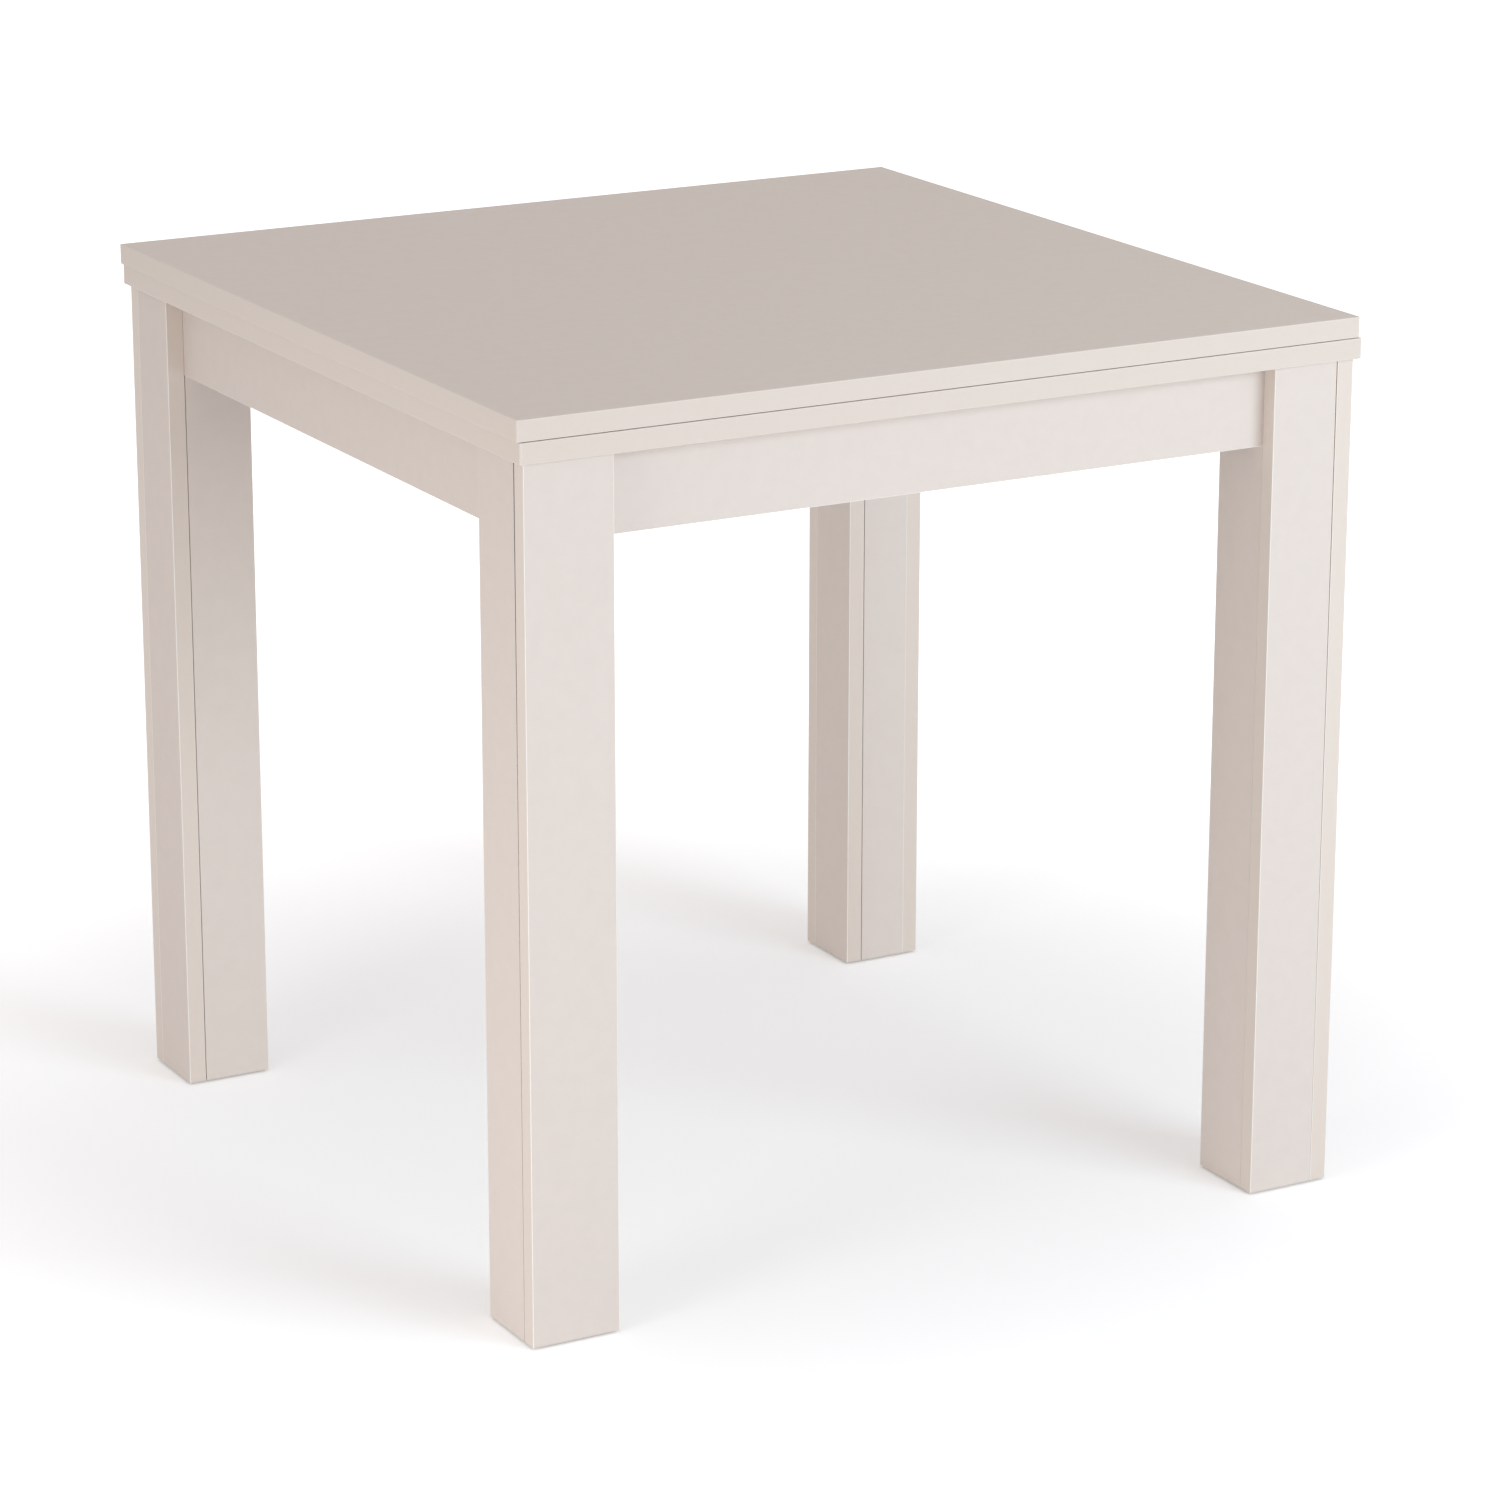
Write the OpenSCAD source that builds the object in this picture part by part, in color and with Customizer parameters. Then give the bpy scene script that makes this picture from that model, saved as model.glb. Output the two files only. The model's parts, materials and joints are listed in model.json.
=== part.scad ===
// Extendable dining table with two stacked leaves. The pair slides to the left by half a leaf,
// then the upper leaf opens like a book and lies beside the lower one.
// Millimetres, +Z up. The origin is on the floor under the middle of the frame.
// The front of the table faces -Y, and the hinged edge of the top faces +X.

/* [Leaves] */
// Length of each leaf along the slide
leaf_length = 800; // [720:10:1000]
// Width of each leaf across the slide
leaf_width = 800; // [720:10:1000]
// Thickness of each leaf
leaf_thickness = 18; // [16:1:25]
// Thickness of the bands on the edges of a leaf
leaf_band = 1; // [0.8:0.1:2]
// Rounding of the long arrises of a leaf's bands
leaf_arris = 0.8; // [0.3:0.1:0.8]
// Rounding of a leaf's upright corners
leaf_corner = 2; // [1:0.5:6]
// Gap between the stacked leaves, filled by the bumpers
leaf_gap = 0.6; // [0.5:0.1:2]
// How far the upper leaf sits back from the hinged edge of the lower one
leaf_setback = 2.5; // [1:0.5:4]
// How far the lower leaf stands out past the legs on each side
leaf_overhang = 5; // [2:1:20]

/* [Legs] */
// Width of a square leg
leg_width = 80; // [72:1:100]
// Height of a leg's panels
leg_height = 745; // [600:1:800]
// Thickness of the panels that make the legs and aprons
panel_thickness = 16; // [14:1:18]
// Thickness of the bands on the edges of leg panels and aprons
panel_band = 0.8; // [0.6:0.1:1.5]
// Rounding of the arrises of those bands
panel_arris = 0.6; // [0.2:0.1:0.6]
// Width of the open joint at the top of the two front legs
open_joint_top = 1.1; // [0.4:0.1:2]
// Width of the same joint at the floor end
open_joint_bottom = 0.3; // [0.1:0.1:0.4]
// Width of the even joint line on the two back legs
back_joint = 0.8; // [0.2:0.1:1.5]
// Depth of these joints
joint_depth = 2; // [1:0.5:4]
// Height of the block in the top of each leg
head_block_height = 110; // [80:5:200]
// Height of the block in the foot of each leg
foot_block_height = 40; // [25:5:100]

/* [Aprons] */
// Height of the aprons
apron_height = 70; // [66:1:100]
// How far the aprons stand back behind the outer faces of the legs
apron_setback = 16; // [12:1:20]
// Diameter of the dowels between aprons and legs
dowel_diameter = 8; // [6:1:8]
// Depth of a dowel in the leg panel
dowel_in_leg = 12; // [8:1:12]
// Depth of a dowel in the apron
dowel_in_apron = 18; // [12:1:25]
// Upright distance between the two dowels of one joint
dowel_spacing = 30; // [24:1:36]

/* [Corner brackets] */
// Thickness of the pressed bracket
bracket_thickness = 2.5; // [1.5:0.5:4]
// Height of the bracket
bracket_height = 50; // [40:1:56]
// Length of each flange on the apron
bracket_flange = 25; // [20:1:30]
// Space between the leg's inner corner and the bracket
bracket_space = 4; // [2:0.5:6]
// Distance of the flange screws above and below the middle of the bracket
bracket_screw_offset = 15; // [8:1:16]
// Diameter of the hanger bolt
bolt_diameter = 8; // [6:1:8]
// Depth of the hanger bolt in the leg, measured from its inner corner
bolt_in_leg = 50; // [40:1:60]
// Length of the hanger bolt past the nut
bolt_tail = 5; // [2:1:12]
// Diameter of the washer
washer_diameter = 20; // [18:1:24]
// Thickness of the washer
washer_thickness = 1.5; // [1:0.1:2.5]
// Width of the nut across its flats
nut_width = 13; // [12:1:16]
// Thickness of the nut
nut_thickness = 6.5; // [5:0.5:8]

/* [Guide rails] */
// Space between a corner bracket and the nearest rail hanger
hanger_space = 18; // [4:1:40]
// Outer width of a rail
rail_width = 30; // [28:1:36]
// Outer height of a rail
rail_height = 24; // [22:1:30]
// Wall thickness of a rail
rail_wall = 2; // [1.5:0.5:3]
// Width of the slot along the top of a rail
rail_slot = 12; // [10:1:16]
// How far the rails lie below the tops of the aprons
rail_drop = 6; // [5:1:10]
// Thickness of the hanger at each rail end
hanger_thickness = 2; // [1.5:0.5:3]
// Width of the hanger on the apron
hanger_width = 56; // [54:1:70]
// Length of the hanger's shelf under the rail
hanger_shelf = 28; // [20:1:28]
// Length of the plastic stop in each rail end
stop_length = 28; // [24:1:40]

/* [Slider bars] */
// Width of a slider bar's upper flange, under the leaf
bar_top_width = 40; // [36:1:50]
// Width of its lower flange, inside the shoes
bar_foot_width = 21; // [16:1:21]
// Thickness of both flanges
bar_flange = 3; // [2:0.5:3.5]
// Thickness of the web between them
bar_web = 5; // [3:0.5:6]
// How far the lower flange stands above the bottom of a shoe
bar_foot_lift = 8; // [5:1:9]
// Length of each shoe
shoe_length = 40; // [25:1:60]
// Distance of the screws from the middle of the bar
bar_screw_offset = 13.5; // [12:0.5:14]

/* [Hinges] */
// Distance of the outer hinges from the ends of the edge
hinge_inset = 120; // [60:5:160]
// Width of a hinge along the edge
hinge_width = 60; // [50:1:80]
// Length of each hinge plate from its pin
hinge_plate = 28; // [26:1:36]
// Thickness of the hinge plates
hinge_thickness = 1.5; // [1.2:0.1:1.8]
// Distance of the first row of screws from the pin
hinge_near_screw = 11; // [10:0.5:12]
// Distance of the second row of screws from the pin
hinge_far_screw = 22; // [20:0.5:22]
// Radius of the knuckles
knuckle_radius = 2.4; // [2.2:0.1:3]
// Radius of the hinge pin
pin_radius = 1.2; // [1:0.1:1.3]
// Seam between the two leaves when the table is open
open_seam = 0.5; // [0.4:0.1:1]

/* [Pads and glides] */
// Thickness of the pads that carry the lower leaf
pad_thickness = 1; // [0.8:0.1:2]
// Diameter of the pad on each leg
leg_pad_diameter = 30; // [16:1:40]
// Length of each pad on an apron
apron_pad_length = 60; // [30:5:100]
// Width of each pad on an apron
apron_pad_width = 12; // [8:1:14]
// Distance of the apron pads from the middle of the apron
apron_pad_offset = 150; // [80:10:200]
// Height of the foot glides
glide_height = 2; // [1.5:0.5:6]
// Diameter of the foot glides
glide_diameter = 30; // [20:1:40]
// Diameter of the nail of a foot glide
glide_nail = 3; // [2:0.5:4]
// Length of that nail
glide_nail_length = 16; // [12:1:20]
// Diameter of the bumpers between the leaves
bumper_diameter = 8; // [6:1:12]
// Distance of the bumpers from the edges of the leaf
bumper_inset = 30; // [20:1:60]

/* [Screws] */
// Shank diameter of the bracket and hanger screws
wood_screw = 4; // [3:0.5:4]
// Depth of these screws in the apron
wood_screw_depth = 12; // [9:1:12]
// Head diameter of these screws
wood_screw_head = 8; // [7:0.5:9]
// Head height of these screws
wood_screw_head_height = 2.4; // [2:0.1:3]
// Shank diameter of the countersunk screws of bars and hinges
sunk_screw = 3.5; // [3:0.5:3.5]
// Full length of these screws
sunk_screw_length = 14; // [12:1:14]
// Head diameter of these screws
sunk_screw_head = 6.5; // [6:0.5:7]
// Head height of these screws
sunk_screw_head_height = 1.8; // [1.5:0.1:2]
// Diameter of the screw that holds each rail end and its stop
stop_screw = 5; // [4:1:6]
// Depth of that screw in the stop
stop_screw_depth = 12; // [8:1:14]
// Head diameter of that screw
stop_screw_head = 10; // [8:0.5:12]

/* [Clearances] */
// Gap round a screw, bolt, nail or dowel in its hole
thread_fit = 0.05; // [0.02:0.01:0.1]
// Gap round a hinge pin in its knuckles
pin_fit = 0.05; // [0.02:0.01:0.1]
// Gap round a knuckle in its mortise
knuckle_space = 0.4; // [0.3:0.1:0.8]
// Gap between neighbouring knuckles
knuckle_gap = 0.3; // [0.2:0.1:0.6]
// Gap round a hinge plate in its mortise
mortise_space = 0.2; // [0.1:0.1:0.5]
// Gap between a shoe and the rail on every side
shoe_space = 0.3; // [0.2:0.1:0.6]
// Gap between a shoe and the end stop
stop_space = 0.3; // [0.2:0.1:1]
// Height of the opened leaf above the pads
landing_space = 0.3; // [0.2:0.1:0.6]
// Extra radius of a through hole in sheet metal
hole_space = 0.25; // [0.1:0.05:0.5]

/* [Hidden] */

$fn = 48;

// Colours as the photograph shows them, and plain ones for the hidden hardware
board_colour = "#DCD3CC";
band_colour = "#E2D8CD";
wood_colour = "#D9BE94";
metal_colour = "#B9BCC0";
plastic_colour = "#F1EFEA";

// Overlap that a cutting shape has past the surface it cuts
past = 1;

// Levels, from the floor up
leg_bottom = glide_height;
leg_top = leg_bottom + leg_height;
lower_bottom = leg_top + pad_thickness;
lower_top = lower_bottom + leaf_thickness;
upper_bottom = lower_top + leaf_gap;
apron_bottom = leg_top - apron_height;
joint_level = leg_top - apron_height / 2;
rail_top = leg_top - rail_drop;
rail_bottom = rail_top - rail_height;

// Frame
frame_length = leaf_length - 2 * leaf_overhang;
frame_width = leaf_width - 2 * leaf_overhang;
apron_inner = apron_setback + panel_thickness;
apron_middle = apron_setback + panel_thickness / 2;
half_inside = frame_length / 2 - apron_inner;
hollow = leg_width - 2 * panel_thickness;
x_apron_length = frame_length - 2 * leg_width;
y_apron_length = frame_width - 2 * leg_width;

// Corner brackets. On the slanted plate's face towards the leg, x + y from the leg's outer
// corner is bracket_sum, and the plate meets the apron at bracket_foot.
bracket_sum = 2 * leg_width + bracket_space * sqrt(2);
bracket_foot = bracket_sum - apron_inner;
bracket_end = bracket_foot + bracket_flange;

// Seats of the washer and the nut, from the leg's inner corner along the bolt
washer_seat = bracket_space + bracket_thickness;
nut_seat = washer_seat + washer_thickness;

// Corner k of the frame: 0 front left, 1 front right, 2 back right, 3 back left
CORNERS = [0, 1, 2, 3];
SIDES = [-1, 1];

// Slide
rail_spacing = frame_width - 2 * (bracket_end + hanger_space) - hanger_width;
travel = leaf_length / 2;
rail_half = half_inside - hanger_thickness;
stop_face = rail_half - stop_length;
stop_screw_reach = hanger_thickness + rail_wall + stop_screw_depth;
bar_end = stop_face - stop_space;
bar_length = 2 * bar_end - travel;
bar_middle = bar_end - bar_length / 2;
shoe_bottom = rail_bottom + rail_wall + shoe_space;
shoe_top = rail_top - rail_wall - shoe_space;
shoe_width = rail_width - 2 * rail_wall - 2 * shoe_space;
bar_foot = shoe_bottom + bar_foot_lift;

// Hinges
pivot_x = leaf_length / 2 - (leaf_setback - open_seam) / 2;
pivot_z = lower_top + (leaf_gap + landing_space) / 2;
hinge_spacing = leaf_width / 2 - hinge_inset;
HINGES = [-hinge_spacing, 0, hinge_spacing];
knuckle_third = hinge_width / 3;
mortise_radius = knuckle_radius + knuckle_space;
HINGE_SCREW_ROWS = [hinge_near_screw, hinge_far_screw];

// Puts a shape that is drawn for the front left leg onto leg k. The drawing's origin is the
// leg's outer corner on the floor, and +X and +Y point into the frame.
module on_leg(k) {
    flip = (k == 2 || k == 3) ? 1 : 0;
    turned = (k == 1 || k == 2);
    mirror([0, flip, 0])
        translate([turned ? frame_length / 2 : -frame_length / 2, -frame_width / 2, 0])
            rotate([0, 0, turned ? 90 : 0]) children();
}

// Swaps X and Y, for the second of two like shapes at one leg
module swapped() {
    mirror([1, -1, 0]) children();
}

// Draws a YZ section along X, centred on x = 0
module along_x(length) {
    translate([-length / 2, 0, 0]) rotate([90, 0, 90]) linear_extrude(length) children();
}

// Section of an edge band: t thick from its outer face at x = 0, w wide, outer arrises rounded
module band_section(t, w, r) {
    difference() {
        square([t, w]);
        for (side = [0, 1])
            translate([0, side * w]) mirror([0, side])
                difference() {
                    translate([-past, -past]) square(past + r);
                    translate([r, r]) circle(r);
                }
    }
}

// Outline of a leaf with rounded corners, centred
module leaf_outline() {
    l = leaf_length;
    w = leaf_width;
    r = leaf_corner;
    square([l - 2 * r, w], center = true);
    square([l, w - 2 * r], center = true);
    for (sx = SIDES, sy = SIDES)
        translate([sx * (l / 2 - r), sy * (w / 2 - r)]) circle(r);
}

// Pan-head screw. Its head rests on z = 0 and its shank goes down.
module pan_screw(d, depth, head_d, head_h) {
    cylinder(d = head_d, h = head_h);
    translate([0, 0, -depth]) cylinder(d = d, h = depth);
}

// Hole for the shank of a screw that goes down from z = 0
module screw_hole(d, depth, space) {
    translate([0, 0, -depth]) cylinder(r = d / 2 + space, h = depth + past);
}

// Countersunk screw whose head is flush with z = 0 and whose shank goes down. Grown by
// space, and with a plug above its head, it is also the cutter for its own hole.
module sunk_screw_shape(space, plug) {
    rim = sunk_screw_head / 2 + space;
    r = sunk_screw / 2 + space;
    above = plug > 0 ? [[0, plug], [rim, plug]] : [[0, 0]];
    rotate_extrude()
        polygon(concat(above, [
            [rim, 0], [r, -sunk_screw_head_height], [r, -sunk_screw_length],
            [0, -sunk_screw_length]
        ]));
}

// Straight wedge that opens a panel joint. It runs up z and widens along +X, and its depth
// is along +Y.
module joint_wedge(bottom, top) {
    rotate([90, 0, 0]) translate([0, 0, -joint_depth])
        linear_extrude(joint_depth + past)
            polygon([
                [-past, leg_bottom - past], [bottom, leg_bottom - past],
                [top, leg_top + past], [-past, leg_top + past]
            ]);
}

// Axis of the hanger bolt on the front left leg: +Z of the child points from the leg's inner
// corner towards the middle of the table
module on_bolt_axis() {
    translate([leg_width, leg_width, joint_level])
        rotate([0, 0, 45]) rotate([0, 90, 0]) children();
}

module bolt_hole() {
    on_bolt_axis() translate([0, 0, -bolt_in_leg])
        cylinder(r = bolt_diameter / 2 + thread_fit, h = bolt_in_leg + past);
}

// The two dowels between one side of the leg and its apron, for the side that faces +X
module dowel_pair(space) {
    for (s = SIDES)
        translate([leg_width - dowel_in_leg, apron_middle, joint_level + s * dowel_spacing / 2])
            rotate([0, 90, 0])
                cylinder(r = dowel_diameter / 2 + space, h = dowel_in_leg + dowel_in_apron);
}

// Plan of the four panels of the front left leg, without their bands. Panel 0 covers panel 1,
// panel 1 covers panel 2, and panel 3 fits between panels 0 and 2.
module leg_panel_plan(i) {
    w = leg_width;
    p = panel_thickness;
    b = panel_band;
    if (i == 0) translate([b, 0]) square([w - 2 * b, p]);
    if (i == 1) translate([0, p]) square([p, w - p - b]);
    if (i == 2) translate([p, w - p]) square([w - p - b, p]);
    if (i == 3) translate([w - p, p]) square([p, w - 2 * p]);
}

// One panel of leg k, with its dowel holes, its bolt hole and the joint lines that show
module leg_panel(k, i) {
    color(board_colour) on_leg(k) difference() {
        translate([0, 0, leg_bottom]) linear_extrude(leg_height) leg_panel_plan(i);
        if (i == 3) dowel_pair(thread_fit);
        if (i == 2) swapped() dowel_pair(thread_fit);
        if (i >= 2) bolt_hole();
        if (i == 1 && (k == 0 || k == 1))
            translate([0, panel_thickness, 0]) swapped()
                joint_wedge(open_joint_bottom, open_joint_top);
        if (i == 2 && k == 3)
            translate([panel_thickness, leg_width, 0]) mirror([0, 1, 0])
                joint_wedge(back_joint, back_joint);
        if (i == 3 && k == 2)
            translate([leg_width, leg_width - panel_thickness, 0]) rotate([0, 0, 180]) swapped()
                joint_wedge(back_joint, back_joint);
    }
}

// The four bands on the free edges of leg k's panels
module leg_bands(k) {
    w = leg_width;
    p = panel_thickness;
    color(band_colour) on_leg(k) difference() {
        translate([0, 0, leg_bottom]) linear_extrude(leg_height) {
            band_section(panel_band, p, panel_arris);
            translate([w, 0]) mirror([1, 0]) band_section(panel_band, p, panel_arris);
            translate([0, w]) mirror([0, 1]) mirror([1, -1])
                band_section(panel_band, p, panel_arris);
            translate([w, w - p]) mirror([1, 0]) band_section(panel_band, p, panel_arris);
        }
        bolt_hole();
    }
}

module leg_head_blocks() {
    color(wood_colour) for (k = CORNERS) on_leg(k) difference() {
        translate([panel_thickness, panel_thickness, leg_top - head_block_height])
            cube([hollow, hollow, head_block_height]);
        bolt_hole();
    }
}

module leg_foot_blocks() {
    color(wood_colour) for (k = CORNERS) on_leg(k) difference() {
        translate([panel_thickness, panel_thickness, leg_bottom])
            cube([hollow, hollow, foot_block_height]);
        translate([leg_width / 2, leg_width / 2, leg_bottom - past])
            cylinder(r = glide_nail / 2 + thread_fit, h = glide_nail_length + past);
    }
}

module leg_glides() {
    color(plastic_colour) for (k = CORNERS) on_leg(k)
        translate([leg_width / 2, leg_width / 2, 0]) {
            cylinder(d = glide_diameter, h = glide_height);
            cylinder(d = glide_nail, h = glide_height + glide_nail_length);
        }
}

module leg_top_pads() {
    color(plastic_colour) for (k = CORNERS) on_leg(k)
        translate([leg_width / 2, leg_width / 2, leg_top])
            cylinder(d = leg_pad_diameter, h = pad_thickness);
}

// Repeats a shape that is drawn on the apron along +X on the one along +Y
module on_both_aprons() {
    children();
    swapped() children();
}

// The screws of one corner bracket's flange, on the apron along +X. With a space round them
// they are the holes for those screws.
module bracket_screw_pair(space) {
    for (s = SIDES)
        translate([bracket_foot + bracket_flange / 2, apron_inner + bracket_thickness,
                   joint_level + s * bracket_screw_offset])
            rotate([-90, 0, 0])
                if (space == 0)
                    pan_screw(wood_screw, wood_screw_depth + bracket_thickness,
                              wood_screw_head, wood_screw_head_height);
                else
                    screw_hole(wood_screw, wood_screw_depth + bracket_thickness, space);
}

// The two screws of one rail hanger, or their holes, at the right end of a rail on y = 0
module hanger_screw_pair(space) {
    for (s = SIDES)
        translate([half_inside - hanger_thickness, s * (hanger_width + rail_width) / 4,
                   (rail_top + rail_bottom) / 2])
            rotate([0, -90, 0])
                if (space == 0)
                    pan_screw(wood_screw, wood_screw_depth + hanger_thickness,
                              wood_screw_head, wood_screw_head_height);
                else
                    screw_hole(wood_screw, wood_screw_depth + hanger_thickness, space);
}

// Copies a shape that is drawn at the right end of a rail on y = 0 to all four rail ends
module on_rail_ends() {
    for (sx = [0, 1], sy = SIDES)
        mirror([sx, 0, 0]) translate([0, sy * rail_spacing / 2, 0]) children();
}

// Every hole that the frame's fittings need in the aprons
module apron_holes() {
    for (k = CORNERS) on_leg(k) on_both_aprons() {
        dowel_pair(thread_fit);
        bracket_screw_pair(thread_fit);
    }
    on_rail_ends() hanger_screw_pair(thread_fit);
}

// An apron board of the given length that runs along X at the front of the table
module apron_board(length, distance) {
    translate([-length / 2, -distance + apron_setback, apron_bottom + panel_band])
        cube([length, panel_thickness, apron_height - panel_band]);
}

// The band under such a board
module apron_band(length, distance) {
    translate([0, apron_setback - distance, apron_bottom]) along_x(length)
        mirror([1, -1]) band_section(panel_band, panel_thickness, panel_arris);
}

module front_apron() {
    color(board_colour) difference() {
        apron_board(x_apron_length, frame_width / 2);
        apron_holes();
    }
}

module back_apron() {
    color(board_colour) difference() {
        mirror([0, 1, 0]) apron_board(x_apron_length, frame_width / 2);
        apron_holes();
    }
}

module left_apron() {
    color(board_colour) difference() {
        swapped() apron_board(y_apron_length, frame_length / 2);
        apron_holes();
    }
}

module right_apron() {
    color(board_colour) difference() {
        mirror([1, 0, 0]) swapped() apron_board(y_apron_length, frame_length / 2);
        apron_holes();
    }
}

module apron_edge_bands() {
    color(band_colour) {
        for (side = [0, 1]) {
            mirror([0, side, 0]) apron_band(x_apron_length, frame_width / 2);
            mirror([side, 0, 0]) swapped() apron_band(y_apron_length, frame_length / 2);
        }
    }
}

module apron_dowels() {
    color(wood_colour) for (k = CORNERS) on_leg(k) on_both_aprons() dowel_pair(0);
}

module apron_top_pads() {
    color(plastic_colour) for (sx = SIDES, sy = SIDES)
        translate([sx * apron_pad_offset - apron_pad_length / 2,
                   sy * (frame_width / 2 - apron_middle) - apron_pad_width / 2, leg_top])
            cube([apron_pad_length, apron_pad_width, pad_thickness]);
}

// Bent plate across the corner, from apron to apron, with a hole for the hanger bolt
module corner_brackets() {
    t = bracket_thickness;
    a = apron_inner;
    foot = bracket_foot;
    inner_foot = bracket_sum + t * sqrt(2) - a - t;
    end = bracket_end;
    color(metal_colour) for (k = CORNERS) on_leg(k) difference() {
        translate([0, 0, joint_level - bracket_height / 2]) linear_extrude(bracket_height)
            polygon([
                [end, a], [foot, a], [a, foot], [a, end],
                [a + t, end], [a + t, inner_foot], [inner_foot, a + t], [end, a + t]
            ]);
        on_bolt_axis() cylinder(r = bolt_diameter / 2 + hole_space, h = washer_seat + past);
        on_both_aprons() bracket_screw_pair(hole_space);
    }
}

module bracket_screws() {
    color(metal_colour) for (k = CORNERS) on_leg(k) on_both_aprons() bracket_screw_pair(0);
}

module hanger_bolts() {
    color(metal_colour) for (k = CORNERS) on_leg(k) on_bolt_axis()
        translate([0, 0, -bolt_in_leg])
            cylinder(d = bolt_diameter, h = bolt_in_leg + nut_seat + nut_thickness + bolt_tail);
}

module bolt_washers() {
    color(metal_colour) for (k = CORNERS) on_leg(k) on_bolt_axis()
        translate([0, 0, washer_seat]) difference() {
            cylinder(d = washer_diameter, h = washer_thickness);
            translate([0, 0, -past])
                cylinder(r = bolt_diameter / 2 + hole_space, h = washer_thickness + 2 * past);
        }
}

module bolt_nuts() {
    color(metal_colour) for (k = CORNERS) on_leg(k) on_bolt_axis()
        translate([0, 0, nut_seat]) difference() {
            cylinder(d = nut_width / cos(30), h = nut_thickness, $fn = 6);
            translate([0, 0, -past])
                cylinder(r = bolt_diameter / 2 + thread_fit, h = nut_thickness + 2 * past);
        }
}

// Section of a guide rail, open upwards, with its bottom on y = 0
module rail_section() {
    w = rail_width / 2;
    s = rail_slot / 2;
    t = rail_wall;
    h = rail_height;
    polygon([
        [-w, 0], [w, 0], [w, h], [s, h], [s, h - t], [w - t, h - t],
        [w - t, t], [t - w, t], [t - w, h - t], [-s, h - t], [-s, h], [-w, h]
    ]);
}

// Place of the screw under a rail end, drawn for the right end of a rail on y = 0
module on_stop_screw() {
    translate([rail_half - hanger_shelf / 2, 0, rail_bottom - hanger_thickness])
        rotate([180, 0, 0]) children();
}

module guide_rail(side) {
    color(metal_colour) translate([0, side * rail_spacing / 2, 0]) difference() {
        translate([0, 0, rail_bottom]) along_x(2 * rail_half) rail_section();
        for (end = [0, 1]) mirror([end, 0, 0]) on_stop_screw()
            screw_hole(stop_screw, hanger_thickness + rail_wall + past, hole_space);
    }
}

// Angle at each rail end: a plate on the apron and a shelf under the rail
module rail_hangers() {
    color(metal_colour) on_rail_ends() difference() {
        union() {
            translate([rail_half, -hanger_width / 2, rail_bottom - hanger_thickness])
                cube([hanger_thickness, hanger_width, rail_height + hanger_thickness]);
            translate([rail_half - hanger_shelf, -rail_width / 2, rail_bottom - hanger_thickness])
                cube([hanger_shelf + hanger_thickness, rail_width, hanger_thickness]);
        }
        hanger_screw_pair(hole_space);
        on_stop_screw() screw_hole(stop_screw, hanger_thickness + past, hole_space);
    }
}

module hanger_screws() {
    color(metal_colour) on_rail_ends() hanger_screw_pair(0);
}

module rail_end_stops() {
    inner_width = rail_width - 2 * rail_wall;
    inner_height = rail_height - 2 * rail_wall;
    color(plastic_colour) on_rail_ends() difference() {
        translate([stop_face, -inner_width / 2, rail_bottom + rail_wall])
            cube([stop_length, inner_width, inner_height]);
        on_stop_screw() screw_hole(stop_screw, stop_screw_reach, thread_fit);
    }
}

module rail_stop_screws() {
    color(metal_colour) on_rail_ends() on_stop_screw()
        pan_screw(stop_screw, stop_screw_reach, stop_screw_head, wood_screw_head_height);
}

// Section of a slider bar: an upper flange against the leaf, a web, and a lower flange
module bar_section() {
    a = bar_top_width / 2;
    b = bar_foot_width / 2;
    c = bar_web / 2;
    under = lower_bottom - bar_flange;
    over = bar_foot + bar_flange;
    polygon([
        [-a, lower_bottom], [-a, under], [-c, under], [-c, over], [-b, over], [-b, bar_foot],
        [b, bar_foot], [b, over], [c, over], [c, under], [a, under], [a, lower_bottom]
    ]);
}

// Places of the screws in one slider bar that lies on y = 0
module on_bar_screws() {
    reach = bar_length / 2 - shoe_length / 2;
    for (x = [-reach, 0, reach], s = SIDES)
        translate([bar_middle + x, s * bar_screw_offset, lower_bottom - bar_flange])
            rotate([180, 0, 0]) children();
}

module slider_bar(side) {
    color(metal_colour) translate([0, side * rail_spacing / 2, 0]) difference() {
        translate([bar_middle, 0, 0]) along_x(bar_length) bar_section();
        on_bar_screws() sunk_screw_shape(thread_fit, past);
    }
}

// Plastic blocks at both ends of each bar, slotted for its web and lower flange
module slider_shoes() {
    color(plastic_colour) for (side = SIDES, end = SIDES)
        translate([bar_middle + end * (bar_length - shoe_length) / 2,
                   side * rail_spacing / 2, 0])
            difference() {
                translate([-shoe_length / 2, -shoe_width / 2, shoe_bottom])
                    cube([shoe_length, shoe_width, shoe_top - shoe_bottom]);
                along_x(shoe_length + 2 * past) bar_section();
            }
}

module slider_screws() {
    color(metal_colour) for (side = SIDES) translate([0, side * rail_spacing / 2, 0])
        on_bar_screws() sunk_screw_shape(0, 0);
}

// Places of the screws in the lower hinge plates, heads upwards
module on_lower_hinge_screws() {
    for (y = HINGES, s = SIDES, row = HINGE_SCREW_ROWS)
        translate([pivot_x - row, y + s * knuckle_third, lower_top]) children();
}

module on_upper_hinge_screws() {
    for (y = HINGES, s = SIDES, row = HINGE_SCREW_ROWS)
        translate([pivot_x - row, y + s * knuckle_third, upper_bottom])
            rotate([180, 0, 0]) children();
}

// A cylinder along Y on the hinge axis, from y0 to y1 of the hinge at y
module hinge_axis_rod(y, y0, y1, r) {
    translate([pivot_x, y + y0, pivot_z]) rotate([-90, 0, 0]) cylinder(r = r, h = y1 - y0);
}

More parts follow.
